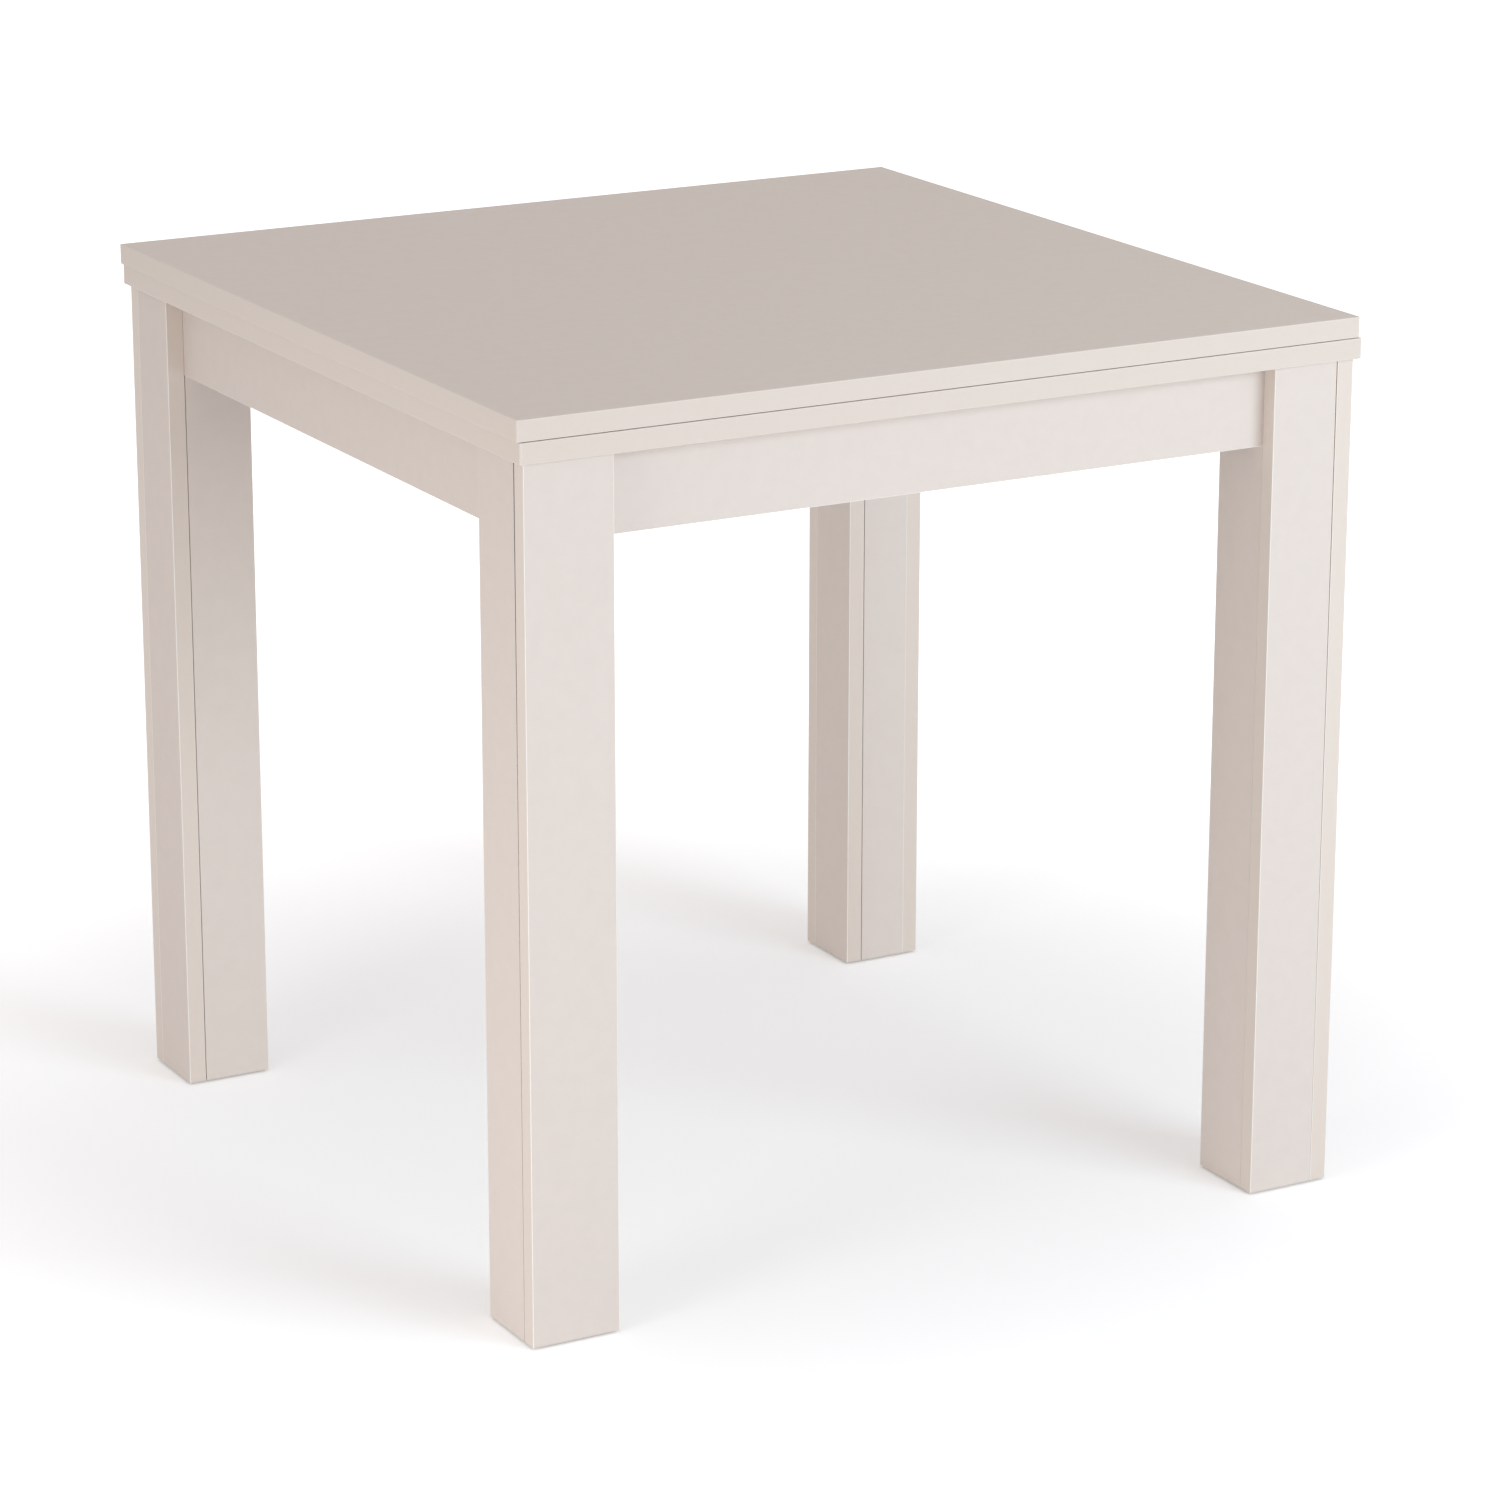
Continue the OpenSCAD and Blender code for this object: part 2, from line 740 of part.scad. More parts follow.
// Pocket for a hinge plate and the knuckles, from level z0 to level z1
module hinge_mortises(z0, z1) {
    half = hinge_width / 2 + mortise_space;
    for (y = HINGES) {
        translate([pivot_x - hinge_plate - mortise_space, y - half, z0])
            cube([hinge_plate + 2 * leaf_setback, 2 * half, z1 - z0]);
        hinge_axis_rod(y, -half, half, mortise_radius);
    }
}

module lower_leaf_cuts() {
    hinge_mortises(lower_top - hinge_thickness, lower_top + past);
    on_lower_hinge_screws() sunk_screw_shape(thread_fit, past);
    for (side = SIDES) translate([0, side * rail_spacing / 2, 0])
        on_bar_screws() sunk_screw_shape(thread_fit, past);
}

module upper_leaf_cuts() {
    hinge_mortises(upper_bottom - past, upper_bottom + hinge_thickness);
    on_upper_hinge_screws() sunk_screw_shape(thread_fit, past);
}

// Board of a leaf inside its bands, from level z up
module leaf_board(z) {
    translate([0, 0, z]) linear_extrude(leaf_thickness) intersection() {
        square([leaf_length - 2 * leaf_band, leaf_width - 2 * leaf_band], center = true);
        leaf_outline();
    }
}

// The front and back bands of a leaf, which run its full length
module long_bands(z) {
    intersection() {
        translate([0, 0, z - past]) linear_extrude(leaf_thickness + 2 * past) leaf_outline();
        for (side = [0, 1])
            mirror([0, side, 0]) translate([0, -leaf_width / 2, z])
                along_x(leaf_length + 2 * past)
                    band_section(leaf_band, leaf_thickness, leaf_arris);
    }
}

// The left and right bands of a leaf, which fit between the long ones
module side_bands(z) {
    intersection() {
        translate([0, 0, z - past]) linear_extrude(leaf_thickness + 2 * past) leaf_outline();
        for (side = [0, 1])
            mirror([side, 0, 0]) swapped() translate([0, -leaf_length / 2, z])
                along_x(leaf_width - 2 * leaf_band)
                    band_section(leaf_band, leaf_thickness, leaf_arris);
    }
}

module lower_leaf_panel() {
    color(board_colour) difference() {
        leaf_board(lower_bottom);
        lower_leaf_cuts();
    }
}

module lower_leaf_long_bands() {
    color(band_colour) long_bands(lower_bottom);
}

module lower_leaf_side_bands() {
    color(band_colour) difference() {
        side_bands(lower_bottom);
        lower_leaf_cuts();
    }
}

module upper_leaf_panel() {
    color(board_colour) difference() {
        translate([-leaf_setback, 0, 0]) leaf_board(upper_bottom);
        upper_leaf_cuts();
    }
}

module upper_leaf_long_bands() {
    color(band_colour) translate([-leaf_setback, 0, 0]) long_bands(upper_bottom);
}

module upper_leaf_side_bands() {
    color(band_colour) difference() {
        translate([-leaf_setback, 0, 0]) side_bands(upper_bottom);
        upper_leaf_cuts();
    }
}

// Two outer knuckles and a plate let into the lower leaf
module lower_hinge_plates() {
    half = hinge_width / 2;
    mid = knuckle_third / 2 + knuckle_gap / 2;
    color(metal_colour) for (y = HINGES) difference() {
        union() {
            translate([pivot_x - hinge_plate, y - half, lower_top - hinge_thickness])
                cube([hinge_plate, hinge_width, hinge_thickness]);
            hinge_axis_rod(y, -half, -mid, knuckle_radius);
            hinge_axis_rod(y, mid, half, knuckle_radius);
        }
        hinge_axis_rod(y, -mid, mid, mortise_radius);
        hinge_axis_rod(y, -half - past, half + past, pin_radius + pin_fit);
        on_lower_hinge_screws() sunk_screw_shape(thread_fit, past);
    }
}

// One middle knuckle and a plate let into the upper leaf
module upper_hinge_plates() {
    half = hinge_width / 2;
    mid = knuckle_third / 2 - knuckle_gap / 2;
    color(metal_colour) for (y = HINGES) difference() {
        union() {
            translate([pivot_x - hinge_plate, y - half, upper_bottom])
                cube([hinge_plate, hinge_width, hinge_thickness]);
            hinge_axis_rod(y, -mid, mid, knuckle_radius);
        }
        hinge_axis_rod(y, -half - past, -mid, mortise_radius);
        hinge_axis_rod(y, mid, half + past, mortise_radius);
        hinge_axis_rod(y, -half - past, half + past, pin_radius + pin_fit);
        on_upper_hinge_screws() sunk_screw_shape(thread_fit, past);
    }
}

module hinge_pins() {
    color(metal_colour) for (y = HINGES)
        hinge_axis_rod(y, -hinge_width / 2, hinge_width / 2, pin_radius);
}

module lower_hinge_screws() {
    color(metal_colour) on_lower_hinge_screws() sunk_screw_shape(0, 0);
}

module upper_hinge_screws() {
    color(metal_colour) on_upper_hinge_screws() sunk_screw_shape(0, 0);
}

module leaf_bumpers() {
    color(plastic_colour) for (s = SIDES)
        translate([bumper_inset - leaf_length / 2, s * (leaf_width / 2 - bumper_inset), lower_top])
            cylinder(d = bumper_diameter, h = leaf_gap);
}

leg_panel(0, 0);  // front_left_leg_front_panel
leg_panel(0, 1);  // front_left_leg_left_panel
leg_panel(0, 2);  // front_left_leg_back_panel
leg_panel(0, 3);  // front_left_leg_right_panel
leg_panel(1, 0);  // front_right_leg_right_panel
leg_panel(1, 1);  // front_right_leg_front_panel
leg_panel(1, 2);  // front_right_leg_left_panel
leg_panel(1, 3);  // front_right_leg_back_panel
leg_panel(2, 0);  // back_right_leg_right_panel
leg_panel(2, 1);  // back_right_leg_back_panel
leg_panel(2, 2);  // back_right_leg_left_panel
leg_panel(2, 3);  // back_right_leg_front_panel
leg_panel(3, 0);  // back_left_leg_back_panel
leg_panel(3, 1);  // back_left_leg_left_panel
leg_panel(3, 2);  // back_left_leg_front_panel
leg_panel(3, 3);  // back_left_leg_right_panel
leg_bands(0);  // front_left_leg_edge_bands
leg_bands(1);  // front_right_leg_edge_bands
leg_bands(2);  // back_right_leg_edge_bands
leg_bands(3);  // back_left_leg_edge_bands
leg_head_blocks();
leg_foot_blocks();
leg_glides();
leg_top_pads();
front_apron();
back_apron();
left_apron();
right_apron();
apron_edge_bands();
apron_dowels();
apron_top_pads();
corner_brackets();
bracket_screws();
hanger_bolts();
bolt_washers();
bolt_nuts();
guide_rail(-1);  // front_guide_rail
guide_rail(1);  // back_guide_rail
rail_hangers();
hanger_screws();
rail_end_stops();
rail_stop_screws();
lower_leaf_panel();
lower_leaf_long_bands();
lower_leaf_side_bands();
slider_bar(-1);  // front_slider_bar
slider_bar(1);  // back_slider_bar
slider_shoes();
slider_screws();
lower_hinge_plates();
hinge_pins();
lower_hinge_screws();
leaf_bumpers();
upper_leaf_panel();
upper_leaf_long_bands();
upper_leaf_side_bands();
upper_hinge_plates();
upper_hinge_screws();
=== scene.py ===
# %% [markdown]
# # An extendable dining table, dressed for its portrait
# The joints, boards and fittings of this table come from a imported CAD model, and this notebook
# puts real finishes on them. The table is flat-pack furniture: two melamine-faced leaves lie
# on each other, four box legs of the same board carry them, and zinc, nylon and aluminium
# hardware hides underneath. We load the model first. It stays exactly where it is, because
# other programs use the same frame.

# %% Load the imported table
import json
import math

import bmesh
import bpy
import numpy as np
from mathutils import Matrix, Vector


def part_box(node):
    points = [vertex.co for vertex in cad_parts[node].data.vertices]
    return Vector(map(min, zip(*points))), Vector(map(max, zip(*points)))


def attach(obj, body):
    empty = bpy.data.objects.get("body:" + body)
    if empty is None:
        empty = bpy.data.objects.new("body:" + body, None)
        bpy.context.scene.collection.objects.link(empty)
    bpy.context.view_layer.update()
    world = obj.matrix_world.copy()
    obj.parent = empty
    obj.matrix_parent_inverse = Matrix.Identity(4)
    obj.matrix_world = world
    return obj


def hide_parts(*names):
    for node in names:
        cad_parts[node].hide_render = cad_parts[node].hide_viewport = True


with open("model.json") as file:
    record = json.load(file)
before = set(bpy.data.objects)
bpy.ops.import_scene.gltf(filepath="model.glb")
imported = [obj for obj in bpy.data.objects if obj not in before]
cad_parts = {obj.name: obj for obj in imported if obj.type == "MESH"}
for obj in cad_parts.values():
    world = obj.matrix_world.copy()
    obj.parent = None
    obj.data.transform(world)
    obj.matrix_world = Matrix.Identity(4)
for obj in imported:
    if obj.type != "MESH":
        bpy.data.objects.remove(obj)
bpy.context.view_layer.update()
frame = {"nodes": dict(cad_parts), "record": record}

SCENE = bpy.context.scene
NODES = frame["nodes"]
MM = 0.001

# %% [markdown]
# ## Where the camera stands
# The photograph was taken from the front left corner, a little above the top, with a long lens
# from more than four and a half metres. A pinhole camera fitted to the corners of the table
# gives its direction, its distance and its focal length, here in pixels of the photograph. It
# looks straight along its axis, so the lens needs no shift.

# %% Camera
PHOTO_SIDE = 1500
FOCAL_PIXELS = 5192.0
AZIMUTH, ELEVATION, ROLL = math.radians(-29.137), math.radians(16.803), math.radians(0.061)
AIM = (0.0, 0.0, 0.4)
OFFSET_RIGHT, OFFSET_UP, DISTANCE = 0.0245, -0.0448, 4.6615
SENSOR_WIDTH, CLIP_END = 36.0, 100.0

back = np.array((math.sin(AZIMUTH) * math.cos(ELEVATION),
                 -math.cos(AZIMUTH) * math.cos(ELEVATION), math.sin(ELEVATION)))
level_right = np.array((math.cos(AZIMUTH), math.sin(AZIMUTH), 0.0))
level_up = np.cross(back, level_right)
right = math.cos(ROLL) * level_right + math.sin(ROLL) * level_up
up = np.cross(back, right)

camera = bpy.data.objects.new("camera", bpy.data.cameras.new("camera"))
SCENE.collection.objects.link(camera)
SCENE.camera = camera
camera.data.sensor_width = SENSOR_WIDTH
camera.data.lens = SENSOR_WIDTH * FOCAL_PIXELS / PHOTO_SIDE
placed = np.eye(4)
placed[:3, 0], placed[:3, 1], placed[:3, 2] = right, up, back
placed[:3, 3] = np.array(AIM) + OFFSET_RIGHT * right + OFFSET_UP * up + DISTANCE * back
camera.matrix_world = Matrix(placed.tolist())
camera.data.clip_end = CLIP_END
print("lens:", round(camera.data.lens, 1), "mm")

# %% [markdown]
# ## Small tools for materials
# A material in Blender is a graph of nodes. Two helpers do most of the work for all of them:
# one turns an sRGB hex colour, as a paint chart gives it, into the linear numbers that Cycles
# computes with, and one adds a node with its settings and its links.

# %% Colour and node helpers
def linear(hex_colour):
    """Linear RGBA of an sRGB hex colour: c / 12.92 below 0.04045, else ((c + 0.055) / 1.055)
    to the power 2.4, for each of the three channels."""
    c = np.array([int(hex_colour[i:i + 2], 16) for i in (1, 3, 5)]) / 255.0
    c = np.where(c <= 0.04045, c / 12.92, ((c + 0.055) / 1.055) ** 2.4)
    return (*c.tolist(), 1.0)


def add(tree, kind, inputs=None, **settings):
    """Adds a node, sets its settings, and fills its inputs, given by name or number, with
    values or with the outputs of other nodes."""
    node = tree.nodes.new("ShaderNode" + kind)
    for name, value in settings.items():
        setattr(node, name, value)
    for key, value in (inputs or {}).items():
        if isinstance(value, bpy.types.NodeSocket):
            tree.links.new(value, node.inputs[key])
        else:
            node.inputs[key].default_value = value
    return node


def new_material(name, **shader_inputs):
    """A material with one Principled shader. Returns it, its tree, the node that gives the
    piece's own Object coordinates, and the shader."""
    material = bpy.data.materials.new(name)
    material.use_nodes = True
    tree = material.node_tree
    tree.nodes.clear()
    place = add(tree, "TexCoord")
    shader = add(tree, "BsdfPrincipled",
                 {key.replace("_", " "): value for key, value in shader_inputs.items()})
    add(tree, "OutputMaterial", {"Surface": shader.outputs["BSDF"]})
    return material, tree, place, shader


def per_mm(size):
    """Scale of a noise texture whose grains are about `size` millimetres wide."""
    return 1.0 / (size * MM)


print("white is", linear("#FFFFFF")[:3])

# %% [markdown]
# ## Melamine-faced chipboard
# Every board of the table is chipboard under a printed paper that is soaked in melamine resin
# and pressed against a steel plate. The plate leaves a fine, soft pearl in the surface. The
# eye sees an even, matt cream with a hint of pink, and a broad dull gloss at a low angle.
# Where a board was sawn or milled and no band covers it, the brown chips of the core show: at
# the ends of the legs and in the pockets of the hinges. One material holds both. The sawn
# faces are picked out by the direction of their normal in the board's own coordinates, so
# they stay where they are when a leaf slides or turns.

# %% Melamine face and chipboard core
FACE_LIGHT, FACE_DARK = "#E1D6CE", "#DFD4CC"
CORE_PALE, CORE_BROWN = "#DDC8A4", "#A5855B"
# near-black painted shade for the shadow in the hollow of a gaping joint
JOINT_PAINTED_SHADE = "#1C1712"
CLOUD_MM, PEARL_MM = 14, 2.2
FACE_ROUGHNESS = 0.52, 0.62
CHIP_MM, BED_MM, TEAR = 3, 1.2, 2 * MM
BED_SHARE = 0.55


def melamine_face(tree, place):
    """Colour, roughness and height of the pressed face: a soft cloud of 14 mm, and the pearl
    of the press plate, drawn at 2.2 mm because the real 0.5 mm would vanish in the render."""
    cloud = add(tree, "TexNoise", {"Vector": place.outputs["Object"],
                                   "Scale": per_mm(CLOUD_MM), "Detail": 4.0,
                                   "Roughness": 0.6})
    pearl = add(tree, "TexNoise", {"Vector": place.outputs["Object"],
                                   "Scale": per_mm(PEARL_MM), "Detail": 2.0,
                                   "Roughness": 0.5})
    blend = add(tree, "MapRange", {"Value": cloud.outputs["Fac"], "From Min": 0.35,
                                   "From Max": 0.65})
    colour = add(tree, "Mix", {0: blend.outputs["Result"], 6: linear(FACE_LIGHT),
                               7: linear(FACE_DARK)}, data_type="RGBA")
    gloss = add(tree, "MapRange", {"Value": pearl.outputs["Fac"],
                                   "To Min": FACE_ROUGHNESS[0], "To Max": FACE_ROUGHNESS[1]})
    return colour.outputs[2], gloss.outputs["Result"], pearl.outputs["Fac"]


def chip_core(tree, place):
    """Colour and height of sawn chipboard: chips of about 3 mm in a bed of chips of 1.2 mm,
    each with its own tone. Noise bends the outlines of the cells, so they look torn."""
    grit = add(tree, "TexNoise", {"Vector": place.outputs["Object"],
                                  "Scale": per_mm(BED_MM), "Detail": 3.0})
    torn = add(tree, "VectorMath", {0: grit.outputs["Color"], 1: (TEAR, TEAR, TEAR),
                                    2: place.outputs["Object"]}, operation="MULTIPLY_ADD")
    tones = []
    for size in (CHIP_MM, BED_MM):
        chips = add(tree, "TexVoronoi", {"Vector": torn.outputs[0], "Scale": per_mm(size)})
        split = add(tree, "SeparateColor", {"Color": chips.outputs["Color"]})
        tones.append(split.outputs["Red"])
    tone = add(tree, "Mix", {0: BED_SHARE, 2: tones[0], 3: tones[1]})
    colour = add(tree, "Mix", {0: tone.outputs[0], 6: linear(CORE_PALE), 7: linear(CORE_BROWN)},
                 data_type="RGBA")
    return colour.outputs[2], grit.outputs["Fac"]


print("clouds in a metre:", round(per_mm(CLOUD_MM)))

# %% [markdown]
# The mask decides which of the two shows. On legs and aprons the sawn faces are the ones that
# look up or down, and the raw panel edges inside the open joints of the legs, which make the
# fine dark lines beside their corners. The joint of the front left leg gapes at its top, and
# there the eye looks into the shaded hollow of the leg. The joint of the model has a floor, so
# there the faces of the joint are painted with a near-black shade, which stands for the
# shadow in the hollow and fades out downwards. On a leaf, the two pressed faces look up and
# down, so there the raw faces are all that lie deeper than the pressed ones. Places on the
# legs are counted from the outside of the frame, half of which is read from the box of a leg
# panel.

# %% Board materials
CORE_DEPTH = 0.3 * MM
FRAME_HALF = round(-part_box("front_left_leg_front_panel")[0].y, 6)
JOINT_FLOOR, JOINT_MOUTH = FRAME_HALF - 2.5 * MM, FRAME_HALF - 0.3 * MM
JOINT_REACH = FRAME_HALF - 25 * MM
# heights between which the painted joint shade fades in
GAPE_BOTTOM, GAPE_TOP = 480 * MM, 680 * MM
LOOKS_UP = 0.5
CORE_ROUGHNESS, PEARL_RELIEF, CHIP_RELIEF = 0.85, 0.012 * MM, 0.35 * MM


def compare(tree, value, limit, operation):
    """1 where the value is beyond the limit, else 0."""
    return add(tree, "Math", {0: value, 1: limit}, operation=operation).outputs[0]


def product(tree, factors):
    """All the factors multiplied."""
    result = factors[0]
    for factor in factors[1:]:
        result = add(tree, "Math", {0: result, 1: factor}, operation="MULTIPLY").outputs[0]
    return result


def in_joints(tree, place):
    """1 in the joints of the legs: there the larger of |x| and |y| lies between the floor and
    the mouth of a joint, and the smaller one is near a corner."""
    point = add(tree, "SeparateXYZ", {0: place.outputs["Object"]})
    x, y = (add(tree, "Math", {0: point.outputs[axis]}, operation="ABSOLUTE").outputs[0]
            for axis in "XY")
    outer = add(tree, "Math", {0: x, 1: y}, operation="MAXIMUM").outputs[0]
    inner = add(tree, "Math", {0: x, 1: y}, operation="MINIMUM").outputs[0]
    return product(tree, [compare(tree, outer, JOINT_FLOOR, "GREATER_THAN"),
                          compare(tree, outer, JOINT_MOUTH, "LESS_THAN"),
                          compare(tree, inner, JOINT_REACH, "GREATER_THAN")])


def sawn_ends(tree, place):
    """1 where the normal points up or down, and in the joints."""
    normal = add(tree, "SeparateXYZ", {0: place.outputs["Normal"]})
    steep = add(tree, "Math", {0: normal.outputs["Z"]}, operation="ABSOLUTE")
    return add(tree, "Math", {0: compare(tree, steep.outputs[0], LOOKS_UP, "GREATER_THAN"),
                              1: in_joints(tree, place)}, operation="MAXIMUM").outputs[0]


def painted_joint_shade(tree, place):
    """How much painted shade the joint takes, for the shadow in its hollow: on the front left
    leg 1 from GAPE_TOP up and 0 below GAPE_BOTTOM, and 0 everywhere else."""
    point = add(tree, "SeparateXYZ", {0: place.outputs["Object"]})
    height = add(tree, "MapRange", {"Value": point.outputs["Z"], "From Min": GAPE_BOTTOM,
                                    "From Max": GAPE_TOP})
    return product(tree, [height.outputs["Result"], in_joints(tree, place),
                          compare(tree, point.outputs["X"], 0.0, "LESS_THAN"),
                          compare(tree, point.outputs["Y"], 0.0, "LESS_THAN")])


def below_faces(low, high):
    """Mask for a leaf between the levels low and high: 1 on points deeper than CORE_DEPTH
    under both of its pressed faces."""
    def mask(tree, place):
        point = add(tree, "SeparateXYZ", {0: place.outputs["Object"]})
        away = add(tree, "Math", {0: point.outputs["Z"], 1: (low + high) / 2},
                   operation="SUBTRACT")
        away = add(tree, "Math", {0: away.outputs[0]}, operation="ABSOLUTE")
        return compare(tree, away.outputs[0], (high - low) / 2 - CORE_DEPTH, "LESS_THAN")
    return mask


def board_material(name, mask, painted_shade=None):
    """Melamine where the mask is 0 and chipboard core where it is 1. Where the third argument
    is 1, the core is painted over with a near-black shade."""
    material, tree, place, shader = new_material(name)
    face_colour, face_gloss, face_height = melamine_face(tree, place)
    core_colour, core_height = chip_core(tree, place)
    # paint a near-black shade over the core where the joint's hollow lies in shadow
    if painted_shade:
        core_colour = add(tree, "Mix", {0: painted_shade(tree, place), 6: core_colour,
                                        7: linear(JOINT_PAINTED_SHADE)}, data_type="RGBA").outputs[2]
    raw = mask(tree, place)
    colour = add(tree, "Mix", {0: raw, 6: face_colour, 7: core_colour}, data_type="RGBA")
    gloss = add(tree, "Mix", {0: raw, 2: face_gloss, 3: CORE_ROUGHNESS})
    height = add(tree, "Mix", {0: raw, 2: face_height, 3: core_height})
    depth = add(tree, "Mix", {0: raw, 2: PEARL_RELIEF, 3: CHIP_RELIEF})
    relief = add(tree, "Bump", {"Height": height.outputs[0], "Distance": depth.outputs[0],
                                "Strength": 1.0})
    for socket, value in (("Base Color", colour.outputs[2]), ("Roughness", gloss.outputs[0]),
                          ("Normal", relief.outputs["Normal"])):
        tree.links.new(value, shader.inputs[socket])
    return material


def leaf_levels(node):
    """Lowest and highest z of a board."""
    low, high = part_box(node)
    return low.z, high.z


frame_board = board_material("melamine_faced_chipboard", sawn_ends, painted_joint_shade)
lower_board = board_material("melamine_faced_chipboard_lower_leaf",
                             below_faces(*leaf_levels("lower_leaf_panel")))
upper_board = board_material("melamine_faced_chipboard_upper_leaf",
                             below_faces(*leaf_levels("upper_leaf_panel")))
print("boards:", frame_board.name, lower_board.name, upper_board.name)

# %% [markdown]
# ## ABS edge band
# The narrow edges are covered by a strip of ABS plastic in the colour of the board. It is
# extruded, so it is a shade warmer and a little glossier than the paper, with faint waves
# along its length where the milling cutter trimmed it. The scraper that rounds its two arrises
# stretches the plastic there, and stretched ABS goes pale. The near-white colour on the
# arrises is partly that pale plastic and partly a painted highlight, and gives the thin light
# line along every upright edge. We find the arris by its normal: on the flat sides of a strip
# one of the three parts of the normal is 1, and on the rounding none is.

# %% Edge band material
BAND_ROUGHNESS, WAVE_MM, WAVE_RELIEF = 0.4, 7, 0.02 * MM
STILL_FLAT, FULLY_ROUND = 0.999, 0.97


def band_material(name, pale, dark, scraped_and_highlight):
    """Satin ABS strip with waves between two shades. The fourth argument is its colour on the
    arrises: partly the pale stretched plastic and partly a painted highlight."""
    material, tree, place, shader = new_material(name, Roughness=BAND_ROUGHNESS)
    wave = add(tree, "TexNoise", {"Vector": place.outputs["Object"],
                                  "Scale": per_mm(WAVE_MM), "Detail": 3.0})
    shade = add(tree, "Mix", {0: wave.outputs["Fac"], 6: linear(pale), 7: linear(dark)},
                data_type="RGBA")
    parts = add(tree, "SeparateXYZ", {0: place.outputs["Normal"]})
    largest = None
    for axis in "XYZ":
        part = add(tree, "Math", {0: parts.outputs[axis]}, operation="ABSOLUTE")
        largest = part if largest is None else add(
            tree, "Math", {0: largest.outputs[0], 1: part.outputs[0]}, operation="MAXIMUM")
    rounding = add(tree, "MapRange", {"Value": largest.outputs[0],
                                      "From Min": STILL_FLAT, "From Max": FULLY_ROUND})
    # near-white arris: partly stretched plastic, partly painted highlight
    shade = add(tree, "Mix", {0: rounding.outputs["Result"], 6: shade.outputs[2],
                              7: linear(scraped_and_highlight)}, data_type="RGBA")
    relief = add(tree, "Bump", {"Height": wave.outputs["Fac"], "Distance": WAVE_RELIEF,
                                "Strength": 1.0})
    tree.links.new(shade.outputs[2], shader.inputs["Base Color"])
    tree.links.new(relief.outputs["Normal"], shader.inputs["Normal"])
    return material


# the last colour of each band is its arris: stretched plastic and painted highlight
frame_band = band_material("abs_edge_band", "#E2D6CC", "#E0D4C9", "#FDFAF6")
leaf_band = band_material("abs_edge_band_of_the_leaves", "#DED2C8", "#DCD0C5", "#E8DDD5")
print("edge bands:", frame_band.name, leaf_band.name)

# %% [markdown]
# ## Finishes of the hidden hardware
# Under the top there are sawn spruce blocks, beech dowels, moulded nylon, clear polyurethane
# dots, anodised aluminium extrusions, and steel in two platings. Wood gets its rings from
# noise that is stretched along the grain. Aluminium and nickel get fine lines along the piece,
# from the extrusion and the rolling, and zinc gets a cloudy, slightly blue tone. The real
# lines are a tenth of a millimetre apart, and are drawn about 1 mm apart so that they show.

# %% Woods
GRAIN_STRETCH, GRAIN_RELIEF = 1 / 20, 0.15 * MM


def wood_material(name, pale, dark, along, grain_mm, roughness):
    """Sawn wood: noise stretched twenty times along the axis `along`, with growth rings
    `grain_mm` millimetres apart across it."""
    material, tree, place, shader = new_material(name, Roughness=roughness)
    stretch = [1.0, 1.0, 1.0]
    stretch["XYZ".index(along)] = GRAIN_STRETCH
    drawn = add(tree, "Mapping", {"Vector": place.outputs["Object"], "Scale": stretch})
    rings = add(tree, "TexNoise", {"Vector": drawn.outputs["Vector"],
                                   "Scale": per_mm(grain_mm), "Detail": 6.0,
                                   "Roughness": 0.65})
    colour = add(tree, "Mix", {0: rings.outputs["Fac"], 6: linear(pale), 7: linear(dark)},
                 data_type="RGBA")
    relief = add(tree, "Bump", {"Height": rings.outputs["Fac"], "Distance": GRAIN_RELIEF})
    tree.links.new(colour.outputs[2], shader.inputs["Base Color"])
    tree.links.new(relief.outputs["Normal"], shader.inputs["Normal"])
    return material


spruce = wood_material("sawn_spruce", "#E6CFA2", "#B98F58", "Z", 4.0, 0.75)
beech = wood_material("turned_beech", "#D9B48A", "#B5895C", "X", 2.0, 0.6)
print("woods:", spruce.name, beech.name)

# %% Plastics
MOULD_SPREAD, MOULD_RELIEF = 0.06, 0.03 * MM


def plastic_material(name, colour, roughness, grain_mm, **more):
    """Moulded plastic: an even colour, and the eroded texture of the mould as bump."""
    material, tree, place, shader = new_material(name, Roughness=roughness, **more)
    shader.inputs["Base Color"].default_value = linear(colour)
    grain = add(tree, "TexNoise", {"Vector": place.outputs["Object"],
                                   "Scale": per_mm(grain_mm), "Detail": 2.0})
    tone = add(tree, "MapRange", {"Value": grain.outputs["Fac"],
                                  "To Min": roughness - MOULD_SPREAD,
                                  "To Max": roughness + MOULD_SPREAD})
    relief = add(tree, "Bump", {"Height": grain.outputs["Fac"], "Distance": MOULD_RELIEF})
    tree.links.new(tone.outputs["Result"], shader.inputs["Roughness"])
    tree.links.new(relief.outputs["Normal"], shader.inputs["Normal"])
    return material


nylon = plastic_material("moulded_nylon", "#EFEDE6", 0.42, 1.5, Subsurface_Weight=0.1)
slide_pad = plastic_material("polyethylene_slide_pad", "#E9E4DB", 0.35, 1.0)
clear_dot = plastic_material("clear_polyurethane", "#F4F5F3", 0.12, 2.0,
                             Transmission_Weight=0.85, IOR=1.49)
print("plastics:", nylon.name, slide_pad.name, clear_dot.name)

# %% Metals
LINE_STRETCH, LINE_SPREAD, LINE_RELIEF = 1 / 100, 0.08, 0.02 * MM
METAL_CLOUD_MM = 6


